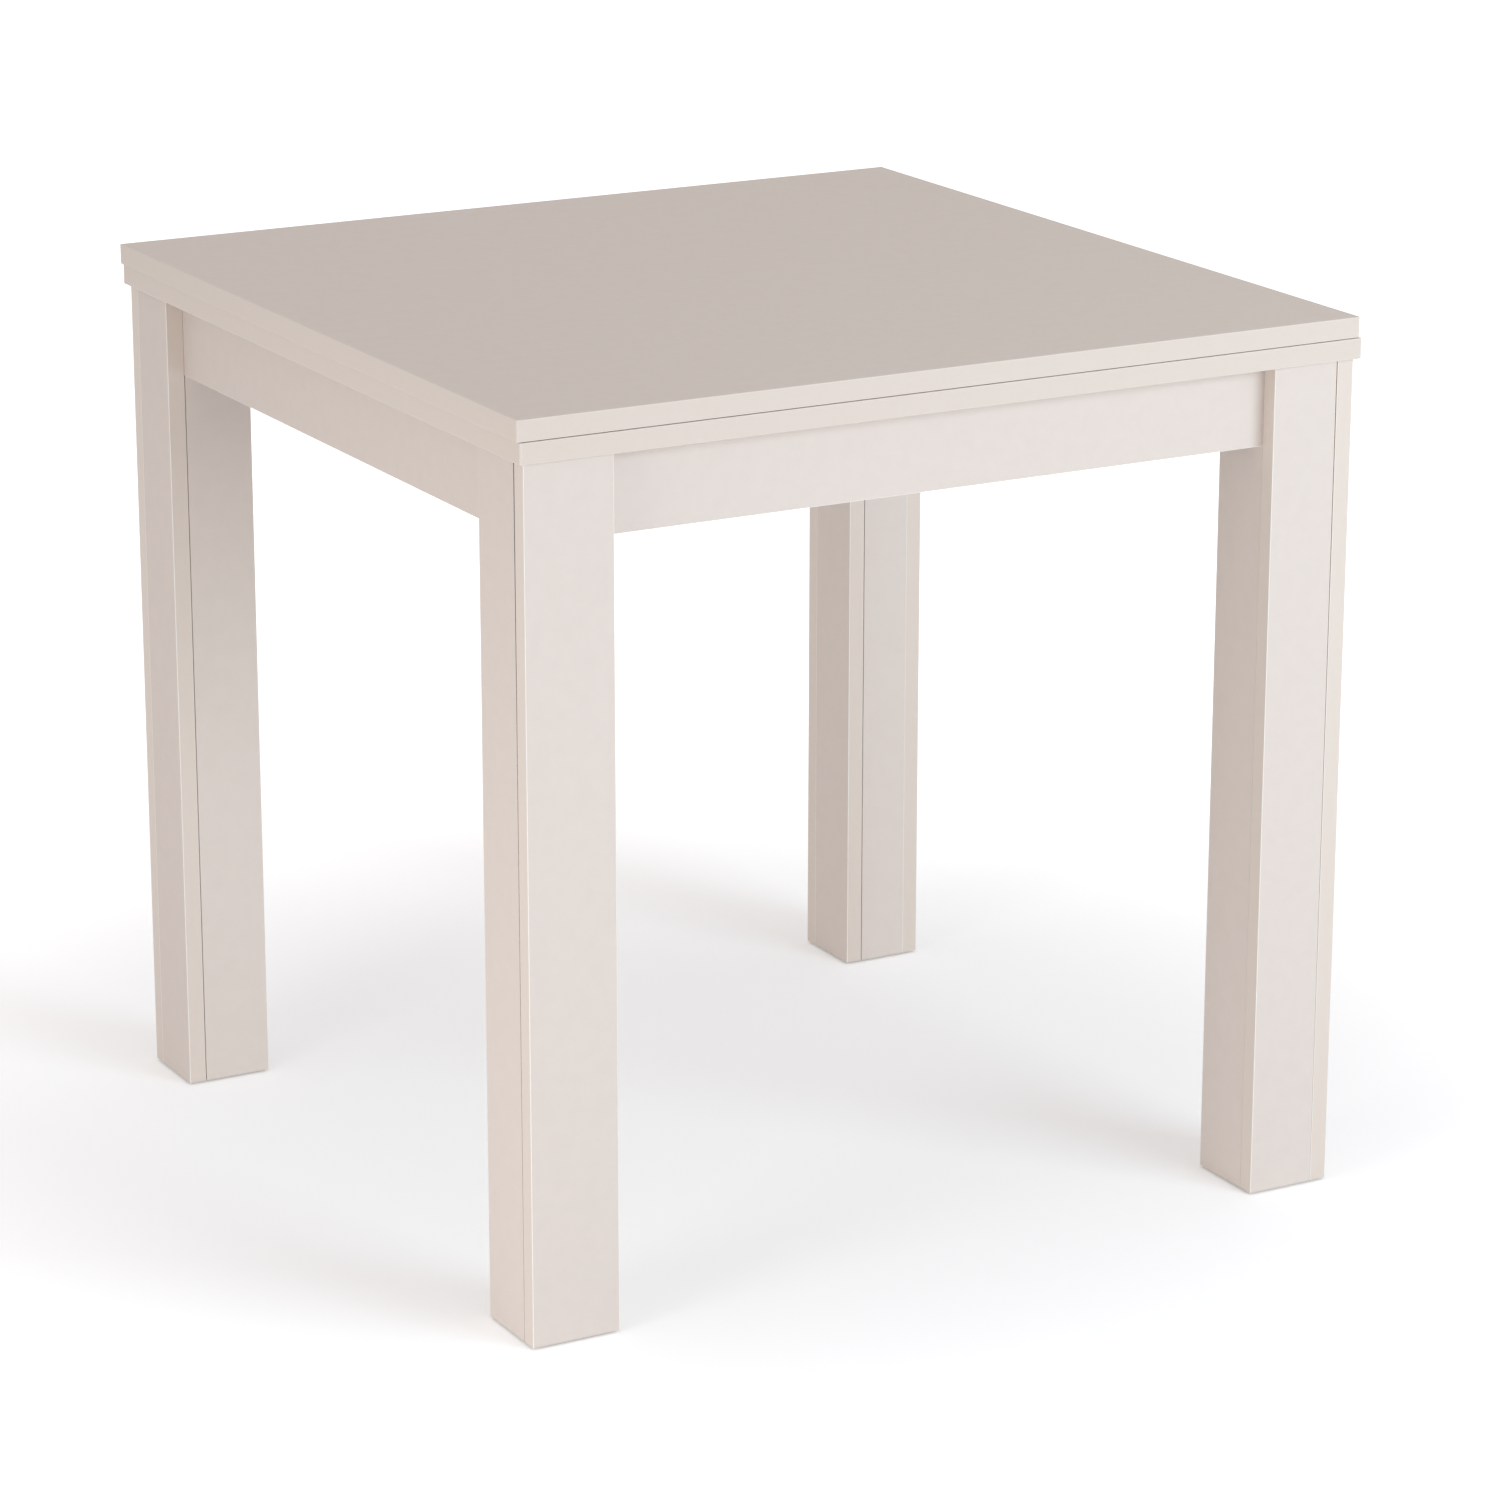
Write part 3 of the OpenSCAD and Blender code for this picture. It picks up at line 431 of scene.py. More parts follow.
def metal_material(name, pale, dark, roughness, line_mm, along=None):
    """Metal with clouds of 6 mm in its tone and fine dull lines `line_mm` apart. Where the
    piece was drawn, rolled or extruded along an axis, both are stretched along it."""
    material, tree, place, shader = new_material(name, Metallic=1.0)
    stretch = [1.0, 1.0, 1.0]
    if along:
        stretch["XYZ".index(along)] = LINE_STRETCH
    drawn = add(tree, "Mapping", {"Vector": place.outputs["Object"], "Scale": stretch})
    lines = add(tree, "TexNoise", {"Vector": drawn.outputs["Vector"],
                                   "Scale": per_mm(line_mm), "Detail": 4.0})
    cloud = add(tree, "TexNoise", {"Vector": drawn.outputs["Vector"],
                                   "Scale": per_mm(METAL_CLOUD_MM), "Detail": 3.0})
    colour = add(tree, "Mix", {0: cloud.outputs["Fac"], 6: linear(pale), 7: linear(dark)},
                 data_type="RGBA")
    tone = add(tree, "MapRange", {"Value": lines.outputs["Fac"],
                                  "To Min": roughness - LINE_SPREAD,
                                  "To Max": roughness + LINE_SPREAD})
    relief = add(tree, "Bump", {"Height": lines.outputs["Fac"], "Distance": LINE_RELIEF})
    for socket, value in (("Base Color", colour.outputs[2]),
                          ("Roughness", tone.outputs["Result"]),
                          ("Normal", relief.outputs["Normal"])):
        tree.links.new(value, shader.inputs[socket])
    return material


aluminium = metal_material("anodised_aluminium", "#D2D4D7", "#C8CBCF", 0.38, 0.8, along="X")
zinc_plate = metal_material("zinc_plated_steel", "#D0D3D8", "#B4B8BF", 0.3, 1.2)
nickel_plate = metal_material("nickel_plated_steel", "#C8C3BA", "#AEA89F", 0.28, 1.0, along="Y")
print("metals:", aluminium.name, zinc_plate.name, nickel_plate.name)

# %% [markdown]
# ## Finishes onto the CAD nodes
# The imported record says for every node what it is made of. We read that list and hang our
# materials on it, so no node is forgotten. The two leaves take their own board material,
# because their sawn faces lie elsewhere. Their bands are a shade darker than those of the
# legs, and their arrises less pale.

# %% Assign the materials
FINISH = {
    "faced_board": frame_board, "edge_band": frame_band, "spruce_block": spruce,
    "beech_dowel": beech, "white_nylon": nylon, "slide_pad": slide_pad,
    "clear_bumper": clear_dot, "anodised_aluminium": aluminium,
    "nickel_plated_steel": nickel_plate, "zinc_plated_steel": zinc_plate,
}
SLOT_OF = {part["node"]: part["material_slot"] for part in frame["record"]["subparts"]}
BODY_OF = {node: body for body, nodes in frame["record"]["behaviour"]["bodies"].items()
           for node in nodes}

for name, piece in NODES.items():
    piece.data.materials.clear()
    piece.data.materials.append(FINISH[SLOT_OF[name]])
NODES["lower_leaf_panel"].data.materials[0] = lower_board
NODES["upper_leaf_panel"].data.materials[0] = upper_board
for name in NODES:
    if "leaf" in name and SLOT_OF[name] == "edge_band":
        NODES[name].data.materials[0] = leaf_band
print("finished nodes:", len(SLOT_OF))

# %% [markdown]
# ## Broken edges
# Nothing that is pressed, extruded, moulded or sawn has a perfectly sharp edge. The CAD meshes
# arrive as loose triangles, so a Weld modifier joins them first, and a Bevel modifier then
# rounds each sharp edge by half a millimetre or less. The mesh itself stays as it is.

# %% Soften the hardware
EDGE_RADIUS = {
    "rail_hangers": 0.35, "lower_hinge_plates": 0.15, "upper_hinge_plates": 0.15,
    "front_guide_rail": 0.3, "back_guide_rail": 0.3, "rail_end_stops": 0.5,
    "front_slider_bar": 0.3, "back_slider_bar": 0.3, "slider_shoes": 0.4,
    "apron_top_pads": 0.25, "leg_head_blocks": 0.3, "leg_foot_blocks": 0.3,
}
WELD_REACH, SHARP_EDGE = 0.001 * MM, math.radians(40.0)


def soften(piece, radius_mm):
    """Welds the triangles of a piece and rounds its edges of more than 40 degrees."""
    weld = piece.modifiers.new("weld", "WELD")
    weld.merge_threshold = WELD_REACH
    bevel = piece.modifiers.new("broken_edges", "BEVEL")
    bevel.width = radius_mm * MM
    bevel.segments = 2
    bevel.limit_method = "ANGLE"
    bevel.angle_limit = SHARP_EDGE


for name, radius_mm in EDGE_RADIUS.items():
    soften(NODES[name], radius_mm)
print("softened:", len(EDGE_RADIUS), "nodes")

# %% [markdown]
# ## Surfaces from arrays
# The small round fittings are remade in more detail than the CAD holds: cross recesses,
# threads, chamfers and domes. Each is a grid of points, a function of an angle and of a step
# along a profile, computed as one numpy array. These helpers join a grid to faces, find where
# the CAD fittings sit, and copy a shape to all of those places in one mesh.

# %% Grid helpers
def grid_faces(rows, columns, closed=False):
    """Quads between the neighbours of a grid whose columns run round. Point (i, j) has the
    number i * columns + j. With `closed`, the last row joins the first one too."""
    i, j = np.meshgrid(np.arange(rows if closed else rows - 1), np.arange(columns),
                       indexing="ij")
    below, above = i, (i + 1) % rows
    here, there = j, (j + 1) % columns
    return np.stack([below * columns + here, below * columns + there,
                     above * columns + there, above * columns + here], -1).reshape(-1, 4)


def turned(profile, columns=48):
    """Surface of revolution: point (i, j) is (r_i cos a_j, r_i sin a_j, z_i), where (r_i, z_i)
    is the profile, which goes up the outside, and a_j the angles of a full turn."""
    profile = np.asarray(profile, float)
    angle = np.arange(columns) * 2 * np.pi / columns
    r, z = profile[:, :1], profile[:, 1:]
    return np.stack([r * np.cos(angle), r * np.sin(angle), z + 0 * angle], -1)


def arc(centre, radius, start, end, steps):
    """Points of a circular arc in the profile's plane, from angle start to angle end."""
    a = np.radians(np.linspace(start, end, steps))
    return np.stack([centre[0] + radius * np.cos(a), centre[1] + radius * np.sin(a)], -1)


print("a 3 by 4 grid has", len(grid_faces(3, 4)), "faces")

# %% Places of the CAD fittings
def solids_of(node):
    """The points of each separate solid of a CAD node. Points at one place get one number,
    and each triangle hands its lowest number to its corners until nothing changes."""
    mesh = NODES[node].data
    points = np.empty(len(mesh.vertices) * 3)
    mesh.vertices.foreach_get("co", points)
    corners = np.empty(len(mesh.loops), int)
    mesh.loops.foreach_get("vertex_index", corners)
    points, same = np.unique(points.reshape(-1, 3).round(6), axis=0, return_inverse=True)
    triangles = same.ravel()[corners].reshape(-1, 3)
    label = np.arange(len(points))
    while True:
        new = label.copy()
        for k in range(3):
            np.minimum.at(new, triangles[:, k], label[triangles].min(1))
        new = new[new]
        if (new == label).all():
            return [points[label == n] for n in np.unique(label)]
        label = new


def axis_frame(points, way):
    """Where the axis of a round solid comes out on the side that `way` points to: a 3 by 3
    array whose rows are two directions across the axis and the axis, and that point."""
    way = np.array(way, float) / np.linalg.norm(way)
    side = np.cross(way, (0, 0, 1)) if abs(way[2]) < 0.9 else np.array((1.0, 0.0, 0.0))
    side = side / np.linalg.norm(side)
    rows = np.array([side, np.cross(way, side), way])
    along = points @ rows.T
    middle = (along.min(0) + along.max(0)) / 2
    middle[2] = along[:, 2].max()
    return rows, middle @ rows


def along_extent(points, way):
    """Length of a solid along a direction, and its largest radius across it."""
    rows, _ = axis_frame(points, way)
    extent = np.ptp(points @ rows.T, axis=0)
    return extent[2], extent[:2].max() / 2


def copies(grid, places, closed=False):
    """One shape, drawn with its outer end at the origin and pointing up, copied to all the
    places. Returns all points and all faces."""
    rows, columns = grid.shape[:2]
    flat = grid.reshape(-1, 3)
    points = np.concatenate([flat @ frame_rows + origin for frame_rows, origin in places])
    step = np.arange(len(places))[:, None, None] * len(flat)
    faces = (grid_faces(rows, columns, closed)[None] + step).reshape(-1, 4)
    return points, faces


print("bracket screws found:", len(solids_of("bracket_screws")))

# %% Make a piece
MERGE_REACH, SLIVER, SMOOTH_LIMIT = 0.0005 * MM, 0.0002 * MM, math.radians(35.0)


def make_piece(name, points, faces, node):
    """Puts arrays into a mesh, merges its poles, turns its faces outwards, and shades it
    smooth except at edges of more than 35 degrees. The piece stands for a CAD node and takes
    its finish and its body."""
    body, slot = BODY_OF[node], SLOT_OF[node]
    mesh = bpy.data.meshes.new(name)
    mesh.from_pydata(points.tolist(), [], faces.tolist())
    work = bmesh.new()
    work.from_mesh(mesh)
    bmesh.ops.remove_doubles(work, verts=work.verts, dist=MERGE_REACH)
    bmesh.ops.dissolve_degenerate(work, edges=work.edges, dist=SLIVER)
    bmesh.ops.recalc_face_normals(work, faces=work.faces)
    work.to_mesh(mesh)
    work.free()
    mesh.shade_smooth()
    mesh.set_sharp_from_angle(angle=SMOOTH_LIMIT)
    mesh.materials.append(FINISH[slot])
    piece = bpy.data.objects.new(name, mesh)
    SCENE.collection.objects.link(piece)
    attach(piece, body)
    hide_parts(node)
    print(name + ":", len(mesh.vertices), "points,", len(mesh.polygons), "faces")


def refit(name, node, way_of, grid_of, closed=False):
    """Stands a finer shape in the place of each solid of a CAD node. `way_of` says where the
    outer end of a solid points, and `grid_of` draws the shape from its radius and length."""
    found = solids_of(node)
    length, radius = along_extent(found[0], way_of(found[0]))
    places = [axis_frame(points, way_of(points)) for points in found]
    points, faces = copies(grid_of(radius, length), places, closed)
    make_piece(name, points, faces, node)


def downwards(points):
    """The outer end of a fitting that hangs or stands under its piece."""
    return 0, 0, -1


def upwards(points):
    """The outer end of a fitting that lies on its piece."""
    return 0, 0, 1


# %% [markdown]
# ## Screws with a cross recess
# A screw of this kind is cold-headed and has its thread rolled. The head is a low dome with a
# cross pressed into it by a tapered punch. On a polar grid we sink every point that lies
# inside one of the two bars of the cross, with walls that lean. The thread is a helix: the
# radius is the core's plus a ridge whose height depends on how far the point is from the
# nearest turn.

# %% Thread and recess
RIDGE_SHARE = 0.28
RECESS_ARM, RECESS_BAR, RECESS_DEPTH, RECESS_LEAN = 0.62, 0.15, 0.45, 0.4


def cross_depth(x, y, rim):
    """Depth of the recess at (x, y) in a head of radius rim: full inside the bars of a cross,
    0 outside, with walls that lean over a fifth of a bar's width."""
    arm, half_width = RECESS_ARM * rim, RECESS_BAR * rim

    def bar(along, across):
        inside = np.minimum(arm - np.abs(along), half_width - np.abs(across))
        return np.clip(inside / (RECESS_LEAN * half_width), 0.0, 1.0)
    return RECESS_DEPTH * rim * np.maximum(bar(x, y), bar(y, x))


def threaded(angle, z, core, crest, pitch):
    """Radius of a right-hand thread: core plus a ridge of triangular section that climbs by
    one pitch in a turn. On each side of its crest it is RIDGE_SHARE of a pitch wide."""
    turn = np.mod(z / pitch - angle / (2 * np.pi), 1.0)
    ridge = np.clip(1.0 - np.abs(turn - 0.5) / RIDGE_SHARE, 0.0, 1.0)
    return core + (crest - core) * ridge


print("depth of a recess in a 4 mm head:", cross_depth(0.0, 0.0, 4.0), "mm")

# %% Heads and whole screws
HEAD_RINGS, THREAD_ROWS, SCREW_PITCH = 20, 44, 1.6 * MM
PAN_HEIGHT, SUNK_HEIGHT = 2.4 * MM, 1.8 * MM
WOOD_SHANK, STOP_SHANK, SUNK_SHANK = 2.0 * MM, 2.5 * MM, 1.75 * MM


def dome_head(radius):
    """Profile of a pan head: a flat underside, a rounded rim, and a low dome in fine rings so
    that the recess has points to sink. The dome falls by the power 2.5 of the way out."""
    neck, edge, crown = 0.6 * radius, 0.97 * radius, 0.42 * PAN_HEIGHT
    way_out = np.linspace(1.0, 0.0, HEAD_RINGS + 2)[1:]
    dome = np.stack([edge * way_out, -crown * way_out ** 2.5], -1)
    return np.concatenate([[(neck, -PAN_HEIGHT), (edge, -PAN_HEIGHT),
                            (radius, -0.9 * PAN_HEIGHT), (radius, -0.5 * PAN_HEIGHT)], dome])


def sunk_head(radius):
    """Profile of a countersunk head: a cone up to the rim, and a flat top in fine rings."""
    flat_radius, rim_height = 0.985 * radius, 0.06 * SUNK_HEIGHT
    way_out = np.linspace(1.0, 0.0, HEAD_RINGS)
    flat = np.stack([flat_radius * way_out, 0.0 * way_out], -1)
    return np.concatenate([[(SUNK_SHANK, -SUNK_HEIGHT), (radius, -rim_height)], flat])


def screw(head_of, shank, columns=48):
    """A function that draws a whole screw as one grid from the radius of its head and its
    length: from its point, up its thread and over its head, whose outer end is at z = 0."""
    core, tip_radius, tip_length = 0.72 * shank, 0.35 * shank, 0.5 * shank

    def grid(radius, length):
        profile = head_of(radius)
        angle = np.arange(columns) * 2 * np.pi / columns
        under = profile[0, 1]
        z = np.linspace(-length + shank, under - SCREW_PITCH, THREAD_ROWS)[:, None]
        fade = np.clip((under - SCREW_PITCH - z) / SCREW_PITCH, 0.0, 1.0)
        thread = threaded(angle, z, core, core + (shank - core) * fade, SCREW_PITCH)
        body = np.stack([thread * np.cos(angle), thread * np.sin(angle), z + 0 * angle], -1)
        tip = turned([(0.0, -length), (tip_radius, -length + tip_length)], columns)
        head = turned(np.concatenate([[(core, under)], profile]), columns)
        sink = cross_depth(head[..., 0], head[..., 1], profile[:, 0].max())
        top = np.arange(len(head)) > np.argmax(profile[:, 0]) + 1
        head[..., 2] -= np.where(top[:, None], sink, 0.0)
        return np.concatenate([tip, body, head])
    return grid


print("points of a dome head's profile:", len(dome_head(4 * MM)))

# %% [markdown]
# The CAD screws are plain, but they know their place and size, so each new screw takes its
# length and radii from the solid that it stands for. The head of a bracket or hanger screw
# looks to the middle of the table, that of a stop or slider screw down. The screws of a hinge
# look at the gap between the two leaves.

# %% Screws
def inward(points):
    """Level direction from a solid to the middle of the table, along its own long side."""
    size = np.ptp(points, axis=0)
    centre = (points.min(0) + points.max(0)) / 2
    k = int(np.argmax(size[:2]))
    way = np.zeros(3)
    way[k] = -np.sign(centre[k])
    return way


sunk_screw = screw(sunk_head, SUNK_SHANK)
refit("bracket_pan_screws", "bracket_screws", inward, screw(dome_head, WOOD_SHANK))
refit("hanger_pan_screws", "hanger_screws", inward, screw(dome_head, WOOD_SHANK))
refit("stop_pan_screws", "rail_stop_screws", downwards, screw(dome_head, STOP_SHANK))
refit("slider_sunk_screws", "slider_screws", downwards, sunk_screw)
refit("lower_hinge_sunk_screws", "lower_hinge_screws", upwards, sunk_screw)
refit("upper_hinge_sunk_screws", "upper_hinge_screws", downwards, sunk_screw)

# %% [markdown]
# ## Hanger bolts, washers and nuts
# A hanger bolt is screwed into the head block of a leg with one end and takes a nut on the
# other, which pulls the leg into its corner bracket. The machine thread is M8 with a pitch of
# 1.25 mm. The nut is a hexagon whose corners are turned off at 30 degrees on both faces: at
# each angle the flat side begins where the cone meets it.

# %% Hanger bolts
BOLT_PITCH, ROWS_TO_A_PITCH = 1.25 * MM, 6


def to_middle(points):
    """Level direction from a corner of the table to its middle."""
    centre = (points.min(0) + points.max(0)) / 2
    return np.array((-np.sign(centre[0]), -np.sign(centre[1]), 0.0))


def bolt_grid(radius, length, columns=24):
    """Threaded rod with a point at its wood end and a chamfer at the other. Six rows to a
    pitch keep the ridge sharp."""
    core, thread_end, chamfer_start = 0.86 * radius, -0.8 * MM, -0.6 * MM
    angle = np.arange(columns) * 2 * np.pi / columns
    z = np.arange(-length + radius, thread_end, BOLT_PITCH / ROWS_TO_A_PITCH)[:, None]
    r = threaded(angle, z, core, radius, BOLT_PITCH)
    body = np.stack([r * np.cos(angle), r * np.sin(angle), z + 0 * angle], -1)
    point = turned([(0.0, -length), (0.4 * radius, -length + 0.5 * radius)], columns)
    end = turned([(0.84 * radius, chamfer_start), (0.7 * radius, 0.0), (0.0, 0.0)], columns)
    return np.concatenate([point, body, end])


refit("threaded_hanger_bolts", "hanger_bolts", to_middle, bolt_grid)

# %% Washers and nuts
BOLT_RADIUS, BOLT_HOLE = 4.0 * MM, 4.25 * MM
NUT_FLATS, NUT_MOUTH, NUT_SLOPE = 13.0 * MM, 0.5 * MM, math.tan(math.radians(30.0))
NUT_FACE = NUT_FLATS / 2 * 0.97


def washer_grid(radius, height):
    """Closed ring whose outer edge was rounded by the punch."""
    corner = 0.3 * height
    upper = arc((radius - corner, -corner), corner, 0, 90, 4)
    lower = arc((radius - corner, corner - height), corner, -90, 0, 4)
    return turned(np.concatenate([lower, upper, [(BOLT_HOLE, 0.0)], [(BOLT_HOLE, -height)]]))


def nut_grid(_, height, columns=72):
    """Hexagon nut: the radius of the hexagon at angle a is half the width across flats
    divided by cos(a folded into 30 degrees either way). The chamfer takes that radius down to
    the face's circle with a slope of 30 degrees."""
    angle = np.arange(columns) * 2 * np.pi / columns
    folded = np.mod(angle + np.pi / 6, np.pi / 3) - np.pi / 6
    hexagon = NUT_FLATS / 2 / np.cos(folded)
    face = np.full(columns, NUT_FACE)
    drop = (hexagon - face) * NUT_SLOPE
    mouth = np.full(columns, BOLT_RADIUS + NUT_MOUTH)
    bore, zero = np.full(columns, BOLT_RADIUS), np.zeros(columns)
    rows = [(mouth, zero - height), (face, zero - height), (hexagon, drop - height),
            (hexagon, -drop), (face, zero), (mouth, zero), (bore, zero - NUT_MOUTH),
            (bore, zero + NUT_MOUTH - height)]
    return np.stack([np.stack([r * np.cos(angle), r * np.sin(angle), z], -1)
                     for r, z in rows])


refit("punched_washers", "bolt_washers", to_middle, washer_grid, closed=True)
refit("hexagon_nuts", "bolt_nuts", to_middle, nut_grid, closed=True)

# %% [markdown]
# ## Pressed corner brackets
# In each corner a steel plate stands across from apron to apron, and the hanger bolt pulls the
# leg against it. It is cut from a strip, bent twice by 45 degrees, and stiffened by two long
# beads that the press tool pushes into it. A plan view of its middle line, with an arc at
# every bend, is carried up over the height. The wall is that line moved half a thickness
# each way along its normal, and the beads move both sides together. The places of the line
# come from the boxes of the CAD nodes. These are in single precision, so they are rounded to
# a thousandth of a millimetre.

# %% A line with rounded bends
def rounded_line(corners, radius, step, arc_steps=7):
    """Points and normals along straight pieces that are joined by arcs of a radius. An arc
    starts radius times tan(half the turn) before its corner. The straight pieces are divided
    into steps."""
    corners = np.asarray(corners, float)
    way = np.diff(corners, axis=0)
    way /= np.linalg.norm(way, axis=1)[:, None]
    heading = np.unwrap(np.arctan2(way[:, 1], way[:, 0]))
    turn = np.diff(heading)
    cut = np.concatenate([[0.0], radius * np.tan(np.abs(turn) / 2), [0.0]])
    points, normals = [], []
    for k, direction in enumerate(way):
        start = corners[k] + cut[k] * direction
        end = corners[k + 1] - cut[k + 1] * direction
        count = max(2, int(np.ceil(np.linalg.norm(end - start) / step)))
        t = np.linspace(0.0, 1.0, count)[:, None]
        points.append(start + t * (end - start))
        normals.append(np.repeat([[-direction[1], direction[0]]], count, axis=0))
        if k < len(turn):
            sign = np.sign(turn[k])
            centre = end + sign * radius * normals[-1][0]
            a = heading[k] + turn[k] * np.linspace(0.0, 1.0, arc_steps)[1:-1]
            out = np.stack([-np.sin(a), np.cos(a)], -1)
            points.append(centre - sign * radius * out)
            normals.append(out)
    return np.concatenate(points), np.concatenate(normals)


one_bend, _ = rounded_line([(0, 0), (30, 0), (60, 30)], 4, 5)
print("a line with one bend has", len(one_bend), "points")

# %% Bracket surface
BRACKET_WALL, BRACKET_FLANGE = 2.5 * MM, 25.0 * MM
BRACKET_SPACE, BEND_RADIUS, FLANGE_CORNER = 4.0 * MM, 4.5 * MM, 7.0 * MM
BEAD_LEVEL, BEAD_HALF_WIDTH, BEAD_HEIGHT = 16.0 * MM, 5.0 * MM, 1.3 * MM
BEAD_REACH, BEAD_FADE, BEAD_SLOPE = 52.0 * MM, 8.0 * MM, 1.5
RIM_WALL, RIM_REACH, BRACKET_ROWS, BRACKET_STEP = 0.8, 0.5 * MM, 49, 1.5 * MM

bracket_low, bracket_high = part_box("corner_brackets")
apron_low, apron_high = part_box("front_apron")
BRACKET_HEIGHT = round(bracket_high.z - bracket_low.z, 6)
JOINT_LEVEL = round((bracket_low.z + bracket_high.z) / 2, 6)
LEG_WIDTH = round(FRAME_HALF + apron_low.x, 6)
APRON_INNER = round(FRAME_HALF + apron_high.y, 6)


def soft_step(t):
    """0 below 0, 1 above 1, and 3t^2 - 2t^3 between."""
    t = np.clip(t, 0.0, 1.0)
    return t * t * (3.0 - 2.0 * t)


def bracket_grid():
    """Closed wall round the plan line: row s is a ring that goes up the face towards the leg
    and down the other. Half the height is h - c + sqrt(c^2 - e^2) where the distance e into a
    rounded end of radius c is positive. The beads push both faces the same way, and the wall
    thins to RIM_WALL of its thickness at its rim."""
    face = APRON_INNER + BRACKET_WALL / 2
    total = 2 * LEG_WIDTH + BRACKET_SPACE * math.sqrt(2) + BRACKET_WALL / math.sqrt(2)
    end = 2 * LEG_WIDTH + BRACKET_SPACE * math.sqrt(2) - APRON_INNER + BRACKET_FLANGE
    line, normal = rounded_line([(end, face), (total - face, face), (face, total - face),
                                 (face, end)], BEND_RADIUS, BRACKET_STEP)
    run = np.concatenate([[0.0], np.cumsum(np.linalg.norm(np.diff(line, axis=0), axis=1))])
    middle = run[-1] / 2
    into = np.clip(np.abs(run - middle) - (middle - FLANGE_CORNER), 0.0, FLANGE_CORNER)
    half = BRACKET_HEIGHT / 2 - FLANGE_CORNER + np.sqrt(FLANGE_CORNER ** 2 - into ** 2)
    v = np.linspace(-1.0, 1.0, BRACKET_ROWS)
    z = half[:, None] * v
    across_bead = 1.0 - np.abs(np.abs(z) - BEAD_LEVEL) / BEAD_HALF_WIDTH
    along_bead = (BEAD_REACH - np.abs(run - middle)) / BEAD_FADE
    bead = soft_step(BEAD_SLOPE * across_bead) * soft_step(along_bead)[:, None]
    rim = np.clip((1.0 - np.abs(v)) * half[:, None] / RIM_REACH, 0.0, 1.0)
    wall = BRACKET_WALL / 2 * (RIM_WALL + (1.0 - RIM_WALL) * np.sqrt(rim * (2.0 - rim)))

    def side(offset):
        plan = line[:, None, :] - offset[..., None] * normal[:, None, :]
        return np.concatenate([plan, z[..., None]], -1)

    lift = BEAD_HEIGHT * bead
    ring = np.concatenate([side(lift - wall), side(lift + wall)[:, ::-1]], 1)
    cap = np.concatenate([side(0 * lift), side(0 * lift)[:, ::-1]], 1)
    return np.concatenate([cap[:1], ring, cap[-1:]])


CORNER = np.array((-FRAME_HALF, -FRAME_HALF, JOINT_LEVEL))
corner_places = []
for c, s in ((1, 0), (0, 1), (-1, 0), (0, -1)):
    rows = np.array([(c, s, 0), (-s, c, 0), (0, 0, 1)], float)
    corner_places.append((rows, CORNER @ rows))
points, faces = copies(bracket_grid(), corner_places)
make_piece("pressed_corner_brackets", points, faces, "corner_brackets")

# %% [markdown]
# ## Glides, pads and bumpers
# The feet stand on nylon glides with a nail moulded in, the lower leaf slides on thin pads,
# and two clear dots keep the leaves apart. All are round and low: a flat face, a well rounded
# rim, and for the dots a dome.

# %% Round plastics
ROUND_COLUMNS, PAD_RIM, DISH_DEPTH = 64, 0.3 * MM, 0.35 * MM
NAIL_RADIUS, NAIL_POINT, NAIL_TAPER = 1.5 * MM, 0.4 * MM, 3.0 * MM
GLIDE_PLATE, GLIDE_RIM = 2.0 * MM, 0.9 * MM


def rounded_rim(radius, rim):
    """Quarter circle from the side of a disc to its face at z = 0."""
    return arc((radius - rim, -rim), rim, 0, 90, 6)


def pad_grid(radius, height):
    """Disc that is flat below, rounded at its rim and flat on top."""
    return turned(np.concatenate([[(0.0, -height), (radius, -height)],
                                  rounded_rim(radius, PAD_RIM),
                                  [(0.5 * radius, 0.0), (0.0, 0.0)]]), ROUND_COLUMNS)


def glide_grid(radius, height):
    """From the nail's point, down the nail and out over the plate to the floor, with a
    shallow dish in the middle. It is drawn with the floor side up, because that side faces
    out."""
    nail = [(0.0, -height), (0.2 * NAIL_RADIUS, -height + NAIL_POINT),
            (NAIL_RADIUS, -height + NAIL_TAPER), (NAIL_RADIUS, -GLIDE_PLATE)]
    dish = [(0.42 * radius, 0.0), (0.36 * radius, -DISH_DEPTH), (0.0, -DISH_DEPTH)]
    return turned(np.concatenate([nail, [(radius, -GLIDE_PLATE)],
                                  rounded_rim(radius, GLIDE_RIM), dish]), ROUND_COLUMNS)


def dot_grid(radius, height):
    """Self-adhesive dome, steep at the foot and nearly flat on its crown: at the angle a from
    0 to 90 degrees its radius is R (cos a)^0.6, and its height H sin a."""
    a = np.linspace(0.0, np.pi / 2, 12)[1:]
    crown = np.stack([radius * np.cos(a) ** 0.6, -height + height * np.sin(a)], -1)
    return turned(np.concatenate([[(0.0, -height), (radius, -height)], crown]), ROUND_COLUMNS)


refit("foot_glides", "leg_glides", downwards, glide_grid)
refit("leg_slide_pads", "leg_top_pads", upwards, pad_grid)
refit("clear_bumper_dots", "leaf_bumpers", upwards, dot_grid)

# %% [markdown]
# ## Floor and backdrop
# The photograph was taken in a white studio: the floor runs up into a white wall without an
# edge, both are burnt out to white, and only soft shadows under the table are left. In Cycles
# the floor is a pale diffuse surface for the light that falls on it. The white is added only
# for the rays that look at it, from the camera, from a gloss or through a clear dot, so it
# puts no more light on the table. It grows outwards, so that the far floor melts into the
# backdrop without an edge, while the shadows near the feet stay.

